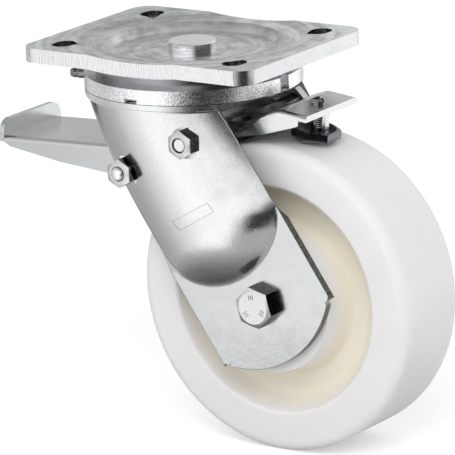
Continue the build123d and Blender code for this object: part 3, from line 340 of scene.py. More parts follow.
def fork_zinc(name, settings):
    """The sheet's zinc on the fork: a blurred mirror with a fine frost, a painted reflection on the legs'
    flats that is darker at their middle and lighter towards their lower end, and dull and dark where the
    legs' edges were sheared."""
    material, tree, place = new_finish(name)
    from_axle = add_node(tree, "ShaderNodeVectorMath", (place, AXLE), operation="SUBTRACT")
    across = add_node(tree, "ShaderNodeVectorMath", (from_axle, ACROSS_LEG), operation="DOT_PRODUCT")
    upward = add_node(tree, "ShaderNodeVectorMath", (from_axle, UP_LEG), operation="DOT_PRODUCT")
    off_middle = add_node(tree, "ShaderNodeMath", (across,), operation="ABSOLUTE")
    off_end = side_distance(tree, from_axle, UP_LEG * (LEG_END_RADIUS - LEG_END))
    side_limits = [LEG_HALF_WIDTH - margin for margin in TORN_MARGIN]
    end_limits = [LEG_END_RADIUS - margin for margin in TORN_MARGIN]
    side = add_node(tree, "ShaderNodeMapRange", (off_middle, *side_limits), **SOFT)
    low = add_node(tree, "ShaderNodeMapRange", (upward, *LEG_END_START), **SOFT)
    beyond = add_node(tree, "ShaderNodeMapRange", (off_end, *end_limits), **SOFT)
    end = add_node(tree, "ShaderNodeMath", (low, beyond), operation="MULTIPLY")
    edge = add_node(tree, "ShaderNodeMath", (side, end), operation="MAXIMUM")

    clouds = clouded(tree, place, settings.cloud_size, settings.roughness, SHEET_GLOSS)
    duller = add_node(tree, "ShaderNodeMath", (edge, TORN_DULLER), operation="MULTIPLY")
    gloss = add_node(tree, "ShaderNodeMath", (clouds, duller), operation="ADD")
    waves = relief(tree, place, settings.wave_size, settings.wave_depth)
    tear, torn = torn_edge(tree, place, settings, edge, (1, 4, 1), waves)
    fine = relief(tree, place, settings.grain_size, settings.grain_depth, detail=3.0, under=torn)

    parts = add_node(tree, "ShaderNodeSeparateXYZ", (place,)).outputs
    sideways = add_node(tree, "ShaderNodeMath", (parts["Y"],), operation="ABSOLUTE")
    off_flat = add_node(tree, "ShaderNodeMath", (sideways, LEG_FLAT), operation="SUBTRACT")
    on_flat = add_node(tree, "ShaderNodeMapRange", (off_flat, *FLAT_MARGIN), **SOFT)
    # Painted reflection: the legs' flats are darker at their middle and lighter towards their lower end.
    lower = add_node(tree, "ShaderNodeMapRange", (parts["Z"], *FLAT_REFLECTION_HEIGHTS), **SOFT)
    flat_reflection = add_node(tree, "ShaderNodeMix", {"Factor": lower, **FLAT_REFLECTION_COLOURS}, **COLOURS)
    crystals = grain(tree, place, FROST_SIZE, detail=3.0)
    frosted = add_node(tree, "ShaderNodeMapRange", (crystals, *FROST_SPREAD), **SOFT)
    frost = add_node(tree, "ShaderNodeMix", {"Factor": frosted, **FROST_COLOURS}, **COLOURS)
    skin = add_node(tree, "ShaderNodeMix", {"Factor": on_flat, "A": frost, "B": flat_reflection}, **COLOURS)
    bare = add_node(tree, "ShaderNodeMapRange", (tear, *TORN_SPREAD), **SOFT)
    sheared = add_node(tree, "ShaderNodeMath", (edge, bare), operation="MULTIPLY")
    colour = add_node(tree, "ShaderNodeMix", {"Factor": sheared, "A": skin, "B": TORN_COLOUR}, **COLOURS)
    return plating(material, gloss, fine, colour)


def plate_zinc(name, settings):
    """Bright zinc on the top plate: faint smeared rings from the press tool, a torn and matt sheared edge,
    dark specks in the slots' walls and a neck greyed with painted shade."""
    material, tree, place = new_finish(name)
    parts = add_node(tree, "ShaderNodeSeparateXYZ", (place,)).outputs
    flat = add_node(tree, "ShaderNodeCombineXYZ", (parts["X"], parts["Y"]))
    radius = add_node(tree, "ShaderNodeVectorMath", (flat,), operation="LENGTH")
    turn = add_node(tree, "ShaderNodeMath", (parts["Y"], parts["X"]), operation="ARCTAN2")
    sweep = add_node(tree, "ShaderNodeMath", (turn, settings.ring_sweep * MM), operation="MULTIPLY")
    swept = add_node(tree, "ShaderNodeCombineXYZ", (radius, sweep))
    rings = grain(tree, swept, settings.ring_pitch, detail=3.0)
    cloud = grain(tree, place, settings.cloud_size, detail=4.0)
    ring_share = add_node(tree, "ShaderNodeMath", (rings, SMEAR_SHARES[0]), operation="MULTIPLY")
    cloud_share = add_node(tree, "ShaderNodeMath", (cloud, SMEAR_SHARES[1]), operation="MULTIPLY")

    off_middle = [add_node(tree, "ShaderNodeMath", (parts[axis],), operation="ABSOLUTE") for axis in "XY"]
    beyond = [add_node(tree, "ShaderNodeMath", (reach, half - PLATE_MARGIN), operation="SUBTRACT")
              for reach, half in zip(off_middle, PLATE_HIGH)]
    outer = add_node(tree, "ShaderNodeMath", beyond, operation="MAXIMUM")
    edge = add_node(tree, "ShaderNodeMapRange", (outer, 0.0, PLATE_EDGE), **SOFT)
    face = add_node(tree, "ShaderNodeMath", (1.0, edge), operation="SUBTRACT")

    mottled = add_node(tree, "ShaderNodeMath", (cloud, ring_share), operation="ADD")
    levels = [settings.roughness * share for share in PLATE_GLOSS]
    clouds = add_node(tree, "ShaderNodeMapRange", (mottled, *PLATE_SPREAD, *levels), **SOFT)
    duller = add_node(tree, "ShaderNodeMath", (edge, PLATE_EDGE_DULLER), operation="MULTIPLY")
    gloss = add_node(tree, "ShaderNodeMath", (clouds, duller), operation="ADD")
    waves = relief(tree, place, settings.wave_size, settings.wave_depth)
    pressed = add_node(tree, "ShaderNodeMath", (rings, face), operation="MULTIPLY")
    marks = add_node(tree, "ShaderNodeBump", {"Height": pressed, "Strength": 1.0, "Normal": waves,
                                              "Distance": settings.ring_depth * MM})
    _, torn = torn_edge(tree, place, settings, edge, (1, 1, 7), marks)
    fine = relief(tree, place, settings.grain_size, settings.grain_depth, detail=3.0, under=torn)

    smear = add_node(tree, "ShaderNodeMath", (ring_share, cloud_share), operation="ADD")
    smeared = add_node(tree, "ShaderNodeMapRange", (smear, *SMEAR_SPREAD), **SOFT)
    smeared_face = add_node(tree, "ShaderNodeMath", (face, smeared), operation="MULTIPLY")
    top = add_node(tree, "ShaderNodeMix", {"Factor": smeared_face, **SMEAR_COLOURS}, **COLOURS)
    off_slot = []
    for reach, middle, half in zip(off_middle, SLOT_PLACE, SLOT_HALF):
        away = add_node(tree, "ShaderNodeMath", (reach, middle), operation="SUBTRACT")
        away = add_node(tree, "ShaderNodeMath", (away,), operation="ABSOLUTE")
        off_slot.append(add_node(tree, "ShaderNodeMath", (away, half), operation="DIVIDE"))
    from_slot = add_node(tree, "ShaderNodeMath", off_slot, operation="MAXIMUM")
    in_slot = add_node(tree, "ShaderNodeMapRange", (from_slot, *SLOT_MARGIN), **SOFT)
    below_top = add_node(tree, "ShaderNodeMapRange", (parts["Z"], *SLOT_HEIGHTS), **SOFT)
    wall = add_node(tree, "ShaderNodeMath", (in_slot, below_top), operation="MULTIPLY")
    specks = grain(tree, place, settings.tear_size, detail=3.0)
    dark = add_node(tree, "ShaderNodeMapRange", (specks, *BURNT_SPREAD), **SOFT)
    burnt_wall = add_node(tree, "ShaderNodeMath", (wall, dark), operation="MULTIPLY")
    burnt = add_node(tree, "ShaderNodeMix", {"Factor": burnt_wall, "A": top, "B": BURNT_COLOUR}, **COLOURS)
    # Painted shade: the neck below the dish is greyed.
    low = add_node(tree, "ShaderNodeMapRange", (parts["Z"], *NECK_SHADE_HEIGHTS), **SOFT)
    colour = add_node(tree, "ShaderNodeMix", {"Factor": low, "A": burnt, "B": NECK_SHADE_COLOUR}, **COLOURS)
    return plating(material, gloss, fine, colour)


def clear_plating(material, place, settings, colour):
    """The clearer plating of small solid steel, whose clouds and ripples are half as large as the sheet's."""
    tree = material.node_tree
    gloss = clouded(tree, place, settings.cloud_size / 2, settings.roughness, TURNED_GLOSS)
    waves = relief(tree, place, settings.wave_size / 2, settings.wave_depth / 2)
    return plating(material, gloss, waves, colour)


def turned_zinc(name, settings, colour=None):
    """Bright zinc on cold-headed and turned steel: a clearer mirror, slightly dulled by handling."""
    material, _, place = new_finish(name)
    return clear_plating(material, place, settings, colour or settings.turned_colour)


def nut_zinc(name, settings, face):
    """Zinc on a cold-formed nut or head: a bright face, and flats darkened in specks with painted shade."""
    material, tree, place = new_finish(name)
    parts = add_node(tree, "ShaderNodeSeparateXYZ", (place,)).outputs
    # Painted shade: the flats behind the face are darkened in specks.
    behind = add_node(tree, "ShaderNodeMath", (parts["Y"], face), operation="SUBTRACT")
    start = add_node(tree, "ShaderNodeMapRange", (behind, *FLATS_SHADE_START), **SOFT)
    end = add_node(tree, "ShaderNodeMapRange", (behind, *FLATS_SHADE_END), **SOFT)
    flats = add_node(tree, "ShaderNodeMath", (start, end), operation="MULTIPLY")
    specks = grain(tree, place, settings.grain_size * 1.5, detail=3.0)
    dark = add_node(tree, "ShaderNodeMapRange", (specks, *FLATS_SHADE_SPREAD), **SOFT)
    shaded_flats = add_node(tree, "ShaderNodeMath", (flats, dark), operation="MULTIPLY")
    colour = add_node(tree, "ShaderNodeMix", {"Factor": shaded_flats, **HEX_FACE_AND_FLAT_SHADE_COLOURS}, **COLOURS)
    return clear_plating(material, place, settings, colour)


def rough_zinc(name, settings):
    """Zinc over a rough rolled or sawn surface: bright, but broken into small dark and light grains."""
    material, tree, place = new_finish(name)
    coarse = relief(tree, place, 1.5 * settings.grain_size, 4 * settings.grain_depth, detail=4.0)
    gloss = clouded(tree, place, settings.cloud_size, settings.roughness, ROLLED_GLOSS)
    grains = grain(tree, place, FROST_SIZE, detail=3.0)
    light = add_node(tree, "ShaderNodeMapRange", (grains, *ROLLED_SPREAD), **SOFT)
    colour = add_node(tree, "ShaderNodeMix", {"Factor": light, **ROLLED_COLOURS}, **COLOURS)
    return plating(material, gloss, coarse, colour)


def cast_nylon(name, settings):
    """Cast nylon: near white where the lathe skimmed it, cream where the mould's skin is left in the dish,
    and soft because some light goes into it."""
    material, tree, place = new_finish(name)
    radius = side_distance(tree, place, AXLE)
    parts = add_node(tree, "ShaderNodeSeparateXYZ", (place,)).outputs
    depth = add_node(tree, "ShaderNodeMath", (parts["Y"],), operation="ABSOLUTE")
    cloud = grain(tree, place, settings.cloud_size, detail=3.0)
    radii = [WHEEL_RADIUS * share for share in DISH_RADII]
    depths = [WHEEL_HIGH.y * share for share in DISH_DEPTHS]
    inside = add_node(tree, "ShaderNodeMapRange", (radius, *radii), **SOFT)
    sunk = add_node(tree, "ShaderNodeMapRange", (depth, *depths), **SOFT)
    dish = add_node(tree, "ShaderNodeMath", (inside, sunk), operation="MULTIPLY")
    patchy = add_node(tree, "ShaderNodeMapRange", (cloud, *DISH_SPREAD), **SOFT)
    cream = add_node(tree, "ShaderNodeMath", (dish, patchy), operation="MULTIPLY")
    shades = {"A": settings.light_colour, "B": settings.shade_colour}
    skimmed = add_node(tree, "ShaderNodeMix", {"Factor": cloud, **shades}, **COLOURS)
    coats = {"A": skimmed, "B": settings.dish_colour}
    colour = add_node(tree, "ShaderNodeMix", {"Factor": cream, **coats}, **COLOURS)
    lathe = add_node(tree, "ShaderNodeCombineXYZ", (radius, depth))
    rings = relief(tree, lathe, settings.lathe_pitch, settings.lathe_depth)
    levels = [settings.roughness * share for share in NYLON_GLOSS]
    gloss = add_node(tree, "ShaderNodeMapRange", (cloud, *SKIMMED_SPREAD, *levels), **SOFT)
    nylon = add_node(tree, "ShaderNodeBsdfPrincipled", {
        "Base Color": colour, "Roughness": gloss, "IOR": 1.53, "Normal": rings, "Subsurface Weight": 0.5,
        "Subsurface Scale": 0.01, "Subsurface Radius": (1.0, 0.94, 0.82)})
    add_node(tree, "ShaderNodeOutputMaterial", {"Surface": nylon})
    return material


# ---- Small pieces ----
def ride_along(name, mesh, body):
    """A mesh as a piece that rides on a body."""
    piece = bpy.data.objects.new(name, mesh)
    bpy.context.scene.collection.objects.link(piece)
    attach(piece, body)
    return piece


def solid_piece(name, points, faces, material, body, slot):
    """A plain mesh piece; its normals are made to point outwards."""
    mesh = bpy.data.meshes.new(name)
    mesh.from_pydata(points, [], faces)
    work = bmesh.new()
    work.from_mesh(mesh)
    bmesh.ops.recalc_face_normals(work, faces=work.faces)
    work.to_mesh(mesh)
    work.free()
    mesh.materials.append(material)
    return ride_along(name, mesh, body)


def bar(start, end, outward, half_width, low, high, taper=0.6):
    """Corners and faces of a small raised bar between two points on a flat or curved skin."""
    along = (end - start).normalized()
    aside = along.cross(outward).normalized() * half_width
    lift = outward.normalized()
    points = []
    for height, share in ((low, 1.0), (high, taper)):
        for place, sign in ((start, -1), (end, 1)):
            tip = place + along * sign * half_width * share + lift * height
            points += [tip - aside * share, tip + aside * share]
    faces = [(0, 1, 3, 2), (4, 6, 7, 5), (0, 4, 5, 1), (2, 3, 7, 6), (0, 2, 6, 4), (1, 5, 7, 3)]
    return points, faces


def joined(parts):
    """Several lists of points and faces as one."""
    points, faces = [], []
    for some_points, some_faces in parts:
        faces += [tuple(index + len(points) for index in face) for face in some_faces]
        points += some_points
    return points, faces


def ring_grid(rings, steps):
    """Joins rings of points into a surface: each ring is (radius, height)."""
    turns = [2 * math.pi * i / steps for i in range(steps)]
    points = [Vector((radius * math.cos(turn), radius * math.sin(turn), height))
              for radius, height in rings for turn in turns]
    faces = [(row * steps + i, row * steps + (i + 1) % steps, (row + 1) * steps + (i + 1) % steps,
              (row + 1) * steps + i) for row in range(len(rings) - 1) for i in range(steps)]
    return points, faces


def skin_point(skin, x, z):
    """Where a line from the near side meets a node's skin at this x and z, and its outward direction."""
    place, normal, _, _ = skin.ray_cast(Vector((x, -RAY_START, z)), Vector((0, 1, 0)))
    return place, normal


def thread(name, radius, pitch, depth, foot, tip, material, body):
    """A rolled screw thread on a shank, made by Geometry Nodes: a triangle that follows a helix."""
    along = tip - foot
    tree = bpy.data.node_groups.new(name, "GeometryNodeTree")
    for socket, value in (("Radius", radius), ("Pitch", pitch), ("Depth", depth), ("Length", along.length)):
        item = tree.interface.new_socket(socket, in_out="INPUT", socket_type="NodeSocketFloat")
        item.default_value = value
    tree.interface.new_socket("Geometry", in_out="OUTPUT", socket_type="NodeSocketGeometry")
    given = add_node(tree, "NodeGroupInput").outputs
    turns = add_node(tree, "ShaderNodeMath", (given["Length"], given["Pitch"]), operation="DIVIDE")
    helix = add_node(tree, "GeometryNodeCurveSpiral", {
        "Resolution": THREAD_PIECES, "Rotations": turns, "Start Radius": given["Radius"],
        "End Radius": given["Radius"], "Height": given["Length"]})
    profile = add_node(tree, "GeometryNodeCurvePrimitiveCircle", {"Resolution": 3, "Radius": given["Depth"]},
                       mode="RADIUS")
    sweep = add_node(tree, "GeometryNodeCurveToMesh", {
        "Curve": helix, "Profile Curve": profile, "Fill Caps": True})
    moved = add_node(tree, "GeometryNodeTransform", {
        "Geometry": sweep, "Translation": foot, "Rotation": along.to_track_quat("Z", "Y").to_euler()})
    real = add_node(tree, "GeometryNodeRealizeInstances", {"Geometry": moved})
    coated = add_node(tree, "GeometryNodeSetMaterial", {"Geometry": real, "Material": material})
    add_node(tree, "NodeGroupOutput", {"Geometry": coated})

    host = bpy.data.objects.new(name + " host", bpy.data.meshes.new(name + " host"))
    bpy.context.scene.collection.objects.link(host)
    modifier = host.modifiers.new(name, "NODES")
    modifier.node_group = tree
    for item in tree.interface.items_tree:
        if item.in_out == "INPUT":
            modifier[item.identifier] = item.default_value
    graph = bpy.context.evaluated_depsgraph_get()
    mesh = bpy.data.meshes.new_from_object(host.evaluated_get(graph), depsgraph=graph)
    host.modifiers.remove(modifier)
    bpy.data.objects.remove(host)
    return ride_along(name, mesh, body)


# ---- Settings ----
class CastorZinc(bpy.types.PropertyGroup):
    """Sizes and main colours of the zinc finish."""
    sheet_colour: StringProperty(name="Sheet colour", description="Colour of the zinc on plain sheet",
                                 default="#D3D5D6")
    turned_colour: StringProperty(name="Turned colour", description="Colour of the zinc on turned steel",
                                  default="#DADBDC")
    roughness: FloatProperty(name="Roughness", description="Mean roughness of the plating", default=0.19)
    cloud_size: FloatProperty(name="Cloud size", description="Size of a cloudy patch in mm", default=9.0)
    wave_size: FloatProperty(name="Wave size", description="Size of the sheet's ripples in mm", default=5.0)
    wave_depth: FloatProperty(name="Wave depth", description="Depth of the ripples in mm", default=0.05)
    grain_size: FloatProperty(name="Grain size", default=0.7,
                              description="Size of the fine grain in mm, drawn coarse enough to show")
    grain_depth: FloatProperty(name="Grain depth", description="Depth of the fine grain in mm", default=0.03)
    ring_pitch: FloatProperty(name="Ring pitch", description="Distance of the press rings in mm", default=5.5)
    ring_sweep: FloatProperty(name="Ring sweep", default=3.5,
                              description="How fast the rings change round the plate, in mm")
    ring_depth: FloatProperty(name="Ring depth", description="Depth of the press rings in mm", default=0.22)
    tear_size: FloatProperty(name="Tear size", description="Width of a shear line in mm", default=0.8)
    tear_depth: FloatProperty(name="Tear depth", description="Depth of the shear lines in mm", default=0.4)


class CastorNylon(bpy.types.PropertyGroup):
    """Sizes and colours of the nylon finish."""
    light_colour: StringProperty(name="Skimmed colour", description="Palest colour of the skimmed nylon",
                                 default="#F3F2F3")
    shade_colour: StringProperty(name="Clouded colour", description="Darker colour of the skimmed nylon",
                                 default="#EDEBEC")
    dish_colour: StringProperty(name="Dish colour", description="Colour of the mould's skin in the dish",
                                default="#F8F0DE")
    roughness: FloatProperty(name="Roughness", description="Roughness of the skimmed nylon", default=0.42)
    cloud_size: FloatProperty(name="Cloud size", description="Size of a paler patch in mm", default=22.0)
    lathe_pitch: FloatProperty(name="Lathe pitch", default=1.2,
                               description="Distance between lathe marks in mm, drawn coarse enough to show")
    lathe_depth: FloatProperty(name="Lathe depth", description="Depth of the lathe marks in mm", default=0.01)


class CastorMarkSizes(bpy.types.PropertyGroup):
    """Sizes of the raised marks."""
    mark_radius: FloatProperty(name="Mark radius", description="From the bolt's axis to a mark",
                               default=5.6 * MM, unit="LENGTH")
    mark_length: FloatProperty(name="Mark length", description="Length of a mark", default=2.2 * MM,
                               unit="LENGTH")
    mark_gap: FloatProperty(name="Mark gap", description="Between marks of a group", default=1.1 * MM,
                            unit="LENGTH")
    mark_height: FloatProperty(name="Mark height", description="Height over the head", default=0.22 * MM,
                               unit="LENGTH")
    stamp_height: FloatProperty(name="Stamp height", description="Height of the stamp's rim",
                                default=0.12 * MM, unit="LENGTH")
    stamp_steps: IntProperty(name="Stamp steps", description="Pieces in each side of the stamp", default=14)


class CastorThreadSizes(bpy.types.PropertyGroup):
    """Sizes of the threads, in mm."""
    screw_radius: FloatProperty(name="Screw radius", description="Radius of the brake screw in mm",
                                default=3.0)
    screw_pitch: FloatProperty(name="Screw pitch", description="Pitch of the brake screw in mm", default=1.0)
    screw_depth: FloatProperty(name="Thread depth", description="Height of the threads in mm", default=0.4)
    axle_radius: FloatProperty(name="Axle radius", description="Radius of the axle bolt in mm", default=6.0)
    axle_pitch: FloatProperty(name="Axle pitch", description="Pitch of the axle bolt in mm", default=1.75)
    pivot_radius: FloatProperty(name="Pivot radius", description="Radius of the pedal bolt in mm",
                                default=3.7)
    tip_height: FloatProperty(name="Tip height", description="Height of the pedal bolt's tip in mm",
                              default=1.7)


class CastorStudio(bpy.types.PropertyGroup):
    """The camera's place and the lights' levels."""
    azimuth: FloatProperty(name="Azimuth", default=math.radians(35.0), subtype="ANGLE",
                           description="Turn of the camera about the swivel axis")
    elevation: FloatProperty(name="Elevation", default=math.radians(15.1), subtype="ANGLE",
                             description="Height of the camera as an angle")
    roll: FloatProperty(name="Roll", default=math.radians(-2.48), subtype="ANGLE",
                        description="Turn of the camera about its own axis")
    distance: FloatProperty(name="Distance", default=2.246, unit="LENGTH",
                            description="From the camera to the point that it aims at")
    lens: FloatProperty(name="Lens", default=346.2, description="Focal length in mm")
    world: FloatProperty(name="World light", default=0.69, description="Strength of the even light all round")
    key: FloatProperty(name="Key light", default=15.5, unit="POWER", description="Power of the upper softbox")


# ---- Operators ----
class CastorPress(bpy.types.Operator):
    """Finishes the pressed steel pieces."""
    bl_idname = "castor.pressed_steel"
    bl_label = "Pressed steel"

    def execute(self, context):
        zinc = context.scene.castor_zinc
        give(SHEET_NODES, sheet_zinc("Bright zinc on pressed sheet", zinc))
        # The pedal's zinc is painted a shade darker: painted shade that stands in for its grey reflection.
        give(("brake_pedal",), sheet_zinc("Zinc on the pedal with painted shade", zinc, "#C3C5C6"))
        give(("lock_ring",), rough_zinc("Zinc on the rolled ring", zinc))
        give(("fork",), fork_zinc("Bright zinc on the fork", zinc))
        give(("top_plate",), plate_zinc("Bright zinc on the plate", zinc))
        return {"FINISHED"}


class CastorTurned(bpy.types.Operator):
    """Finishes the turned and cold-headed fasteners."""
    bl_idname = "castor.turned_steel"
    bl_label = "Turned steel"

    def execute(self, context):
        zinc = context.scene.castor_zinc
        give(TURNED_NODES + BEARING_NODES, turned_zinc("Bright zinc on turned steel", zinc))
        for name, (finish, colour) in TONED_NODES.items():
            give((name,), turned_zinc(finish, zinc, colour))
        for name in NEAR_HEX_NODES:
            give((name,), nut_zinc("Bright zinc on " + name.replace("_", " "), zinc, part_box(name)[0].y))
        return {"FINISHED"}


class CastorMarks(bpy.types.Operator):
    """Adds the raised marks on the axle bolt's head and the blank stamp on the near leg."""
    bl_idname = "castor.marks"
    bl_label = "Marks"

    def execute(self, context):
        marks = context.scene.castor_marks
        zinc = context.scene.castor_zinc
        head = Vector((AXLE.x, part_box("axle_bolt")[0].y, AXLE.z))
        outward = Vector((0, -1, 0))
        parts = []
        for turn in MARK_TURNS:
            angle = math.radians(turn)
            away = Vector((math.cos(angle), 0, math.sin(angle)))
            aside = Vector((-away.z, 0, away.x))
            for step, share in MARK_REACH.items():
                middle = head + away * marks.mark_radius + aside * step * marks.mark_gap
                reach = away * marks.mark_length * share
                parts.append(bar(middle - reach, middle + reach, outward, MARK_HALF_WIDTH, -MARK_SINK,
                                 marks.mark_height))
        # The strokes and the stamp's rim are painted darker than what they stand on, so that they can be
        # seen: painted shade in place of the shade on their edges.
        stroke = turned_zinc("Zinc on the head's marks with painted shade", zinc, "#9C9EA0")
        solid_piece("axle_head_marks", *joined(parts), stroke, "fork", "fastener_zinc")

        skin = BVHTree.FromObject(NODES["fork"], context.evaluated_depsgraph_get())
        corners = [Vector(corner) * MM for corner in STAMP_CORNERS]
        parts = []
        for start, end in zip(corners, corners[1:] + corners[:1]):
            places = [skin_point(skin, *start.lerp(end, i / marks.stamp_steps))
                      for i in range(marks.stamp_steps + 1)]
            for (first, normal), (second, _) in zip(places, places[1:]):
                parts.append(bar(first, second, normal, STAMP_HALF_WIDTH, -STAMP_SINK, marks.stamp_height))
        # The stamp's rim is darker as painted shade.
        rim = sheet_zinc("Zinc on the stamp with painted shade", zinc, "#BABCBE")
        solid_piece("leg_stamp", *joined(parts), rim, "fork", "bright_zinc")
        return {"FINISHED"}


class CastorThreads(bpy.types.Operator):
    """Adds the screw threads on the brake screw and the axle bolt's end, and the pedal bolt's round tip."""
    bl_idname = "castor.threads"
    bl_label = "Threads"

    def execute(self, context):
        threads = context.scene.castor_threads
        zinc = context.scene.castor_zinc
        depth = threads.screw_depth * MM
        material = turned_zinc("Bright zinc on the threads", zinc)

        # The screw leans, so its two ends are the middles of its lowest and highest eighths of points.
        points = sorted((corner.co for corner in NODES["brake_screw"].data.vertices), key=lambda co: co.z)
        few = len(points) // 8
        foot = sum(points[:few], Vector()) / few
        tip = sum(points[-few:], Vector()) / few
        foot.y = tip.y = 0
        thread("brake_screw_thread", threads.screw_radius * MM, threads.screw_pitch * MM, depth, foot, tip,
               material, "arm")

        foot = Vector((AXLE.x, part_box("axle_nut")[1].y, AXLE.z))
        tip = Vector((AXLE.x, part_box("axle_bolt")[1].y - AXLE_CHAMFER, AXLE.z))
        thread("axle_end_thread", threads.axle_radius * MM, threads.axle_pitch * MM, depth, foot, tip,
               material, "fork")

        low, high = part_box("pedal_pivot_nut")
        middle = (low + high) / 2
        radius = threads.pivot_radius * MM
        rings = [(radius, TIP_ROOT), (radius, -TIP_COLLAR)]
        for turn in map(math.radians, TIP_ANGLES):
            rings.append((radius * math.cos(turn), -TIP_COLLAR - threads.tip_height * MM * math.sin(turn)))
        points, faces = ring_grid(rings, TIP_SIDES)
        points = [Vector((middle.x + point.x, low.y + point.z, middle.z + point.y)) for point in points]
        last = len(points) - TIP_SIDES
        faces += [tuple(range(TIP_SIDES)), tuple(range(last, last + TIP_SIDES))]
        solid_piece("pedal_bolt_tip", points, faces, rough_zinc("Zinc on the rough bolt tip", zinc), "fork",
                    "fastener_zinc")
        return {"FINISHED"}


class CastorWheel(bpy.types.Operator):
    """Finishes the wheel."""
    bl_idname = "castor.wheel"
    bl_label = "Wheel"

    def execute(self, context):
        give(("wheel",), cast_nylon("Cast nylon", context.scene.castor_nylon))
        return {"FINISHED"}


# ---- The stage ----
def add_camera(settings):
    """The camera, aimed near the middle of the castor."""
    az, el = settings.azimuth, settings.elevation
    back = Vector((math.sin(az) * math.cos(el), -math.cos(az) * math.cos(el), math.sin(el)))
    right = Vector((math.cos(az), math.sin(az), 0))
    roll = Matrix.Rotation(settings.roll, 3, back)
    right, up = roll @ right, roll @ back.cross(right)
    place = CAMERA_AIM + back * settings.distance + right * CAMERA_STEP[0] + up * CAMERA_STEP[1]
    data = bpy.data.cameras.new("Camera")
    data.lens = settings.lens
    data.clip_end = 100
    camera = bpy.data.objects.new("Camera", data)
    camera.matrix_world = Matrix.Translation(place) @ Matrix((right, up, back)).transposed().to_4x4()
    bpy.context.scene.collection.objects.link(camera)
    bpy.context.scene.camera = camera


def add_softbox(power):
    """A square softbox above the near side, which mirrors don't see."""
    data = bpy.data.lights.new("Upper softbox", "AREA")
    data.shape = "RECTANGLE"
    data.size = data.size_y = SOFTBOX_SIDE
    data.energy = power
    light = bpy.data.objects.new("Upper softbox", data)
    place = Vector(SOFTBOX_PLACE)
    aim = (Vector(SOFTBOX_AIM) - place).to_track_quat("-Z", "Y")
    light.matrix_world = Matrix.Translation(place) @ aim.to_matrix().to_4x4()
    light.visible_glossy = False
    bpy.context.scene.collection.objects.link(light)


def tone_at(point):
    """The grey level that a mirror sees in this direction from the castor."""
    turn = math.degrees(math.atan2(point.y, point.x))
    height = math.degrees(math.atan2(point.z, math.hypot(point.x, point.y)))
    return between([(angle, between(row, turn)) for angle, row in TENT_TONES.items()], height)


def mirror_only(name, points, faces, tones, covers=None):
    """A studio surface that only reflections see, with one grey level and one cover for each corner."""
    mesh = bpy.data.meshes.new(name)
    mesh.from_pydata(points, [], faces)
    for attribute, values in (("tone", tones), ("cover", covers or [1.0] * len(points))):
        mesh.attributes.new(attribute, "FLOAT", "POINT").data.foreach_set("value", values)
    material = empty_material(name)
    tree = material.node_tree
    tone = add_node(tree, "ShaderNodeAttribute", attribute_name="tone").outputs["Fac"]
    cover = add_node(tree, "ShaderNodeAttribute", attribute_name="cover").outputs["Fac"]
    clear = add_node(tree, "ShaderNodeBsdfTransparent")
    glow = add_node(tree, "ShaderNodeEmission", {"Strength": tone})
    both = add_node(tree, "ShaderNodeMixShader", (cover, clear, glow))
    add_node(tree, "ShaderNodeOutputMaterial", {"Surface": both})
    mesh.materials.append(material)
    surface = bpy.data.objects.new(name, mesh)
    bpy.context.scene.collection.objects.link(surface)
    for ray in ("camera", "diffuse", "transmission", "shadow"):
        setattr(surface, "visible_" + ray, False)


def add_tent():
    """A round tent with dark gaps between soft panels, which gives the plating its lights and darks."""
    rings = []
    for row in range(TENT_ROWS + 1):
        height = math.radians(TENT_FOOT + (TENT_TOP - TENT_FOOT) * row / TENT_ROWS)
        rings.append((TENT_RADIUS * math.cos(height), TENT_RADIUS * math.sin(height)))
    points, faces = ring_grid(rings, TENT_STEPS)
    mirror_only("tent", points, faces, [tone_at(point) for point in points])

    rings = [(TENT_RADIUS * row / GROUND_ROWS, FLOOR_Z + GROUND_LIFT) for row in range(1, GROUND_ROWS + 1)]
    points, faces = ring_grid(rings, TENT_STEPS)
    tones = []
    for point in points:
        reach = math.hypot(point.x, point.y)
        drop = math.tan(math.radians(-between(GROUND_TURN, reach)))
        tones.append(min(between(GROUND_SHADE, reach), tone_at(Vector((point.x, point.y, -reach * drop)))))
    mirror_only("tent_ground", points, faces, tones)


def add_card():
    """The dark card, which fades out at its ends and its top."""
    fades = [((0.0, 0.0), (share, 1.0)) for share in CARD_FADES]
    points, covers = [], []
    for row in range(CARD_ROWS + 1):
        height = FLOOR_Z + (CARD_TOP - FLOOR_Z) * row / CARD_ROWS
        for column in range(CARD_STEPS + 1):
            share = column / CARD_STEPS
            turn = math.radians(CARD_ENDS[0] + (CARD_ENDS[1] - CARD_ENDS[0]) * share)
            points.append(Vector((CARD_MIDDLE[0] + CARD_RADIUS * math.cos(turn),
                                  CARD_MIDDLE[1] + CARD_RADIUS * math.sin(turn), height)))
            ends = between(fades[0], share) * between(fades[1], 1 - share)
            covers.append(ends * between(fades[2], 1 - row / CARD_ROWS))
    wide = CARD_STEPS + 1
    faces = [(row * wide + i, row * wide + i + 1, (row + 1) * wide + i + 1, (row + 1) * wide + i)
             for row in range(CARD_ROWS) for i in range(CARD_STEPS)]
    mirror_only("dark_card", points, faces, [CARD_TONE] * len(points), covers)


def seen_rays(tree):
    """1 for rays from the camera, a mirror or glass, and 0 for light that lands on the object."""
    path = add_node(tree, "ShaderNodeLightPath").outputs
    seen = path["Is Camera Ray"]
    for ray in ("Is Glossy Ray", "Is Transmission Ray"):
        seen = add_node(tree, "ShaderNodeMath", (seen, path[ray]), operation="MAXIMUM")
    return seen


def add_world(level):
    """An even white world, which lights the castor at this level."""
    world = bpy.data.worlds.new("Studio")
    bpy.context.scene.world = world
    world.use_nodes = True
    tree = world.node_tree
    tree.nodes.clear()
    strength = add_node(tree, "ShaderNodeMapRange", {"Value": seen_rays(tree), "To Min": level})
    light = add_node(tree, "ShaderNodeBackground", {"Color": WHITE, "Strength": strength})
    add_node(tree, "ShaderNodeOutputWorld", {"Surface": light})


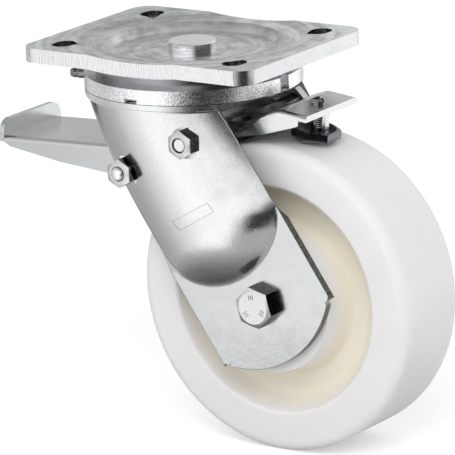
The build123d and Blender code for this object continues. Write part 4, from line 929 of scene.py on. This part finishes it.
def add_floor():
    """A matt pale floor that keeps the castor's shadow, with a glow that only the view and mirrors get."""
    mesh = bpy.data.meshes.new("floor")
    corners = [(x * FLOOR_HALF, y * FLOOR_HALF, FLOOR_Z) for x, y in ((-1, -1), (1, -1), (1, 1), (-1, 1))]
    mesh.from_pydata(corners, [], [(0, 1, 2, 3)])
    material = empty_material("White floor")
    tree = material.node_tree
    matt = add_node(tree, "ShaderNodeBsdfDiffuse", {"Color": FLOOR_COLOUR})
    level = add_node(tree, "ShaderNodeMath", (seen_rays(tree), FLOOR_GLOW), operation="MULTIPLY")
    glow = add_node(tree, "ShaderNodeEmission", {"Color": WHITE, "Strength": level})
    both = add_node(tree, "ShaderNodeAddShader", (matt, glow))
    add_node(tree, "ShaderNodeOutputMaterial", {"Surface": both})
    mesh.materials.append(material)
    floor = bpy.data.objects.new("floor", mesh)
    bpy.context.scene.collection.objects.link(floor)


class CastorStage(bpy.types.Operator):
    """Builds the floor, the lights and the camera."""
    bl_idname = "castor.studio"
    bl_label = "Studio"

    def execute(self, context):
        settings = context.scene.castor_studio
        add_world(settings.world)
        add_floor()
        add_softbox(settings.key)
        add_tent()
        add_card()
        add_camera(settings)
        context.scene.view_settings.view_transform = "Standard"
        return {"FINISHED"}


class CastorPanel(bpy.types.Panel):
    """Lists the castor's operators."""
    bl_idname = "VIEW3D_PT_castor"
    bl_label = "Swivel castor"
    bl_space_type = "VIEW_3D"
    bl_region_type = "UI"
    bl_category = "Castor"

    def draw(self, context):
        for operator in OPERATORS:
            self.layout.operator(operator.bl_idname)


OPERATORS = (CastorPress, CastorTurned, CastorWheel, CastorMarks, CastorThreads, CastorStage)
GROUPS = {"castor_zinc": CastorZinc, "castor_nylon": CastorNylon, "castor_marks": CastorMarkSizes,
          "castor_threads": CastorThreadSizes, "castor_studio": CastorStudio}


def register():
    for part in (*GROUPS.values(), *OPERATORS, CastorPanel):
        bpy.utils.register_class(part)
    for name, group in GROUPS.items():
        setattr(bpy.types.Scene, name, PointerProperty(type=group))


def unregister():
    for name in GROUPS:
        delattr(bpy.types.Scene, name)
    for part in (CastorPanel, *OPERATORS, *GROUPS.values()):
        bpy.utils.unregister_class(part)


def main():
    """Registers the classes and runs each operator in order."""
    register()
    bpy.ops.castor.pressed_steel()
    bpy.ops.castor.turned_steel()
    bpy.ops.castor.wheel()
    bpy.ops.castor.marks()
    bpy.ops.castor.threads()
    bpy.ops.castor.studio()


if __name__ == "__main__":
    main()
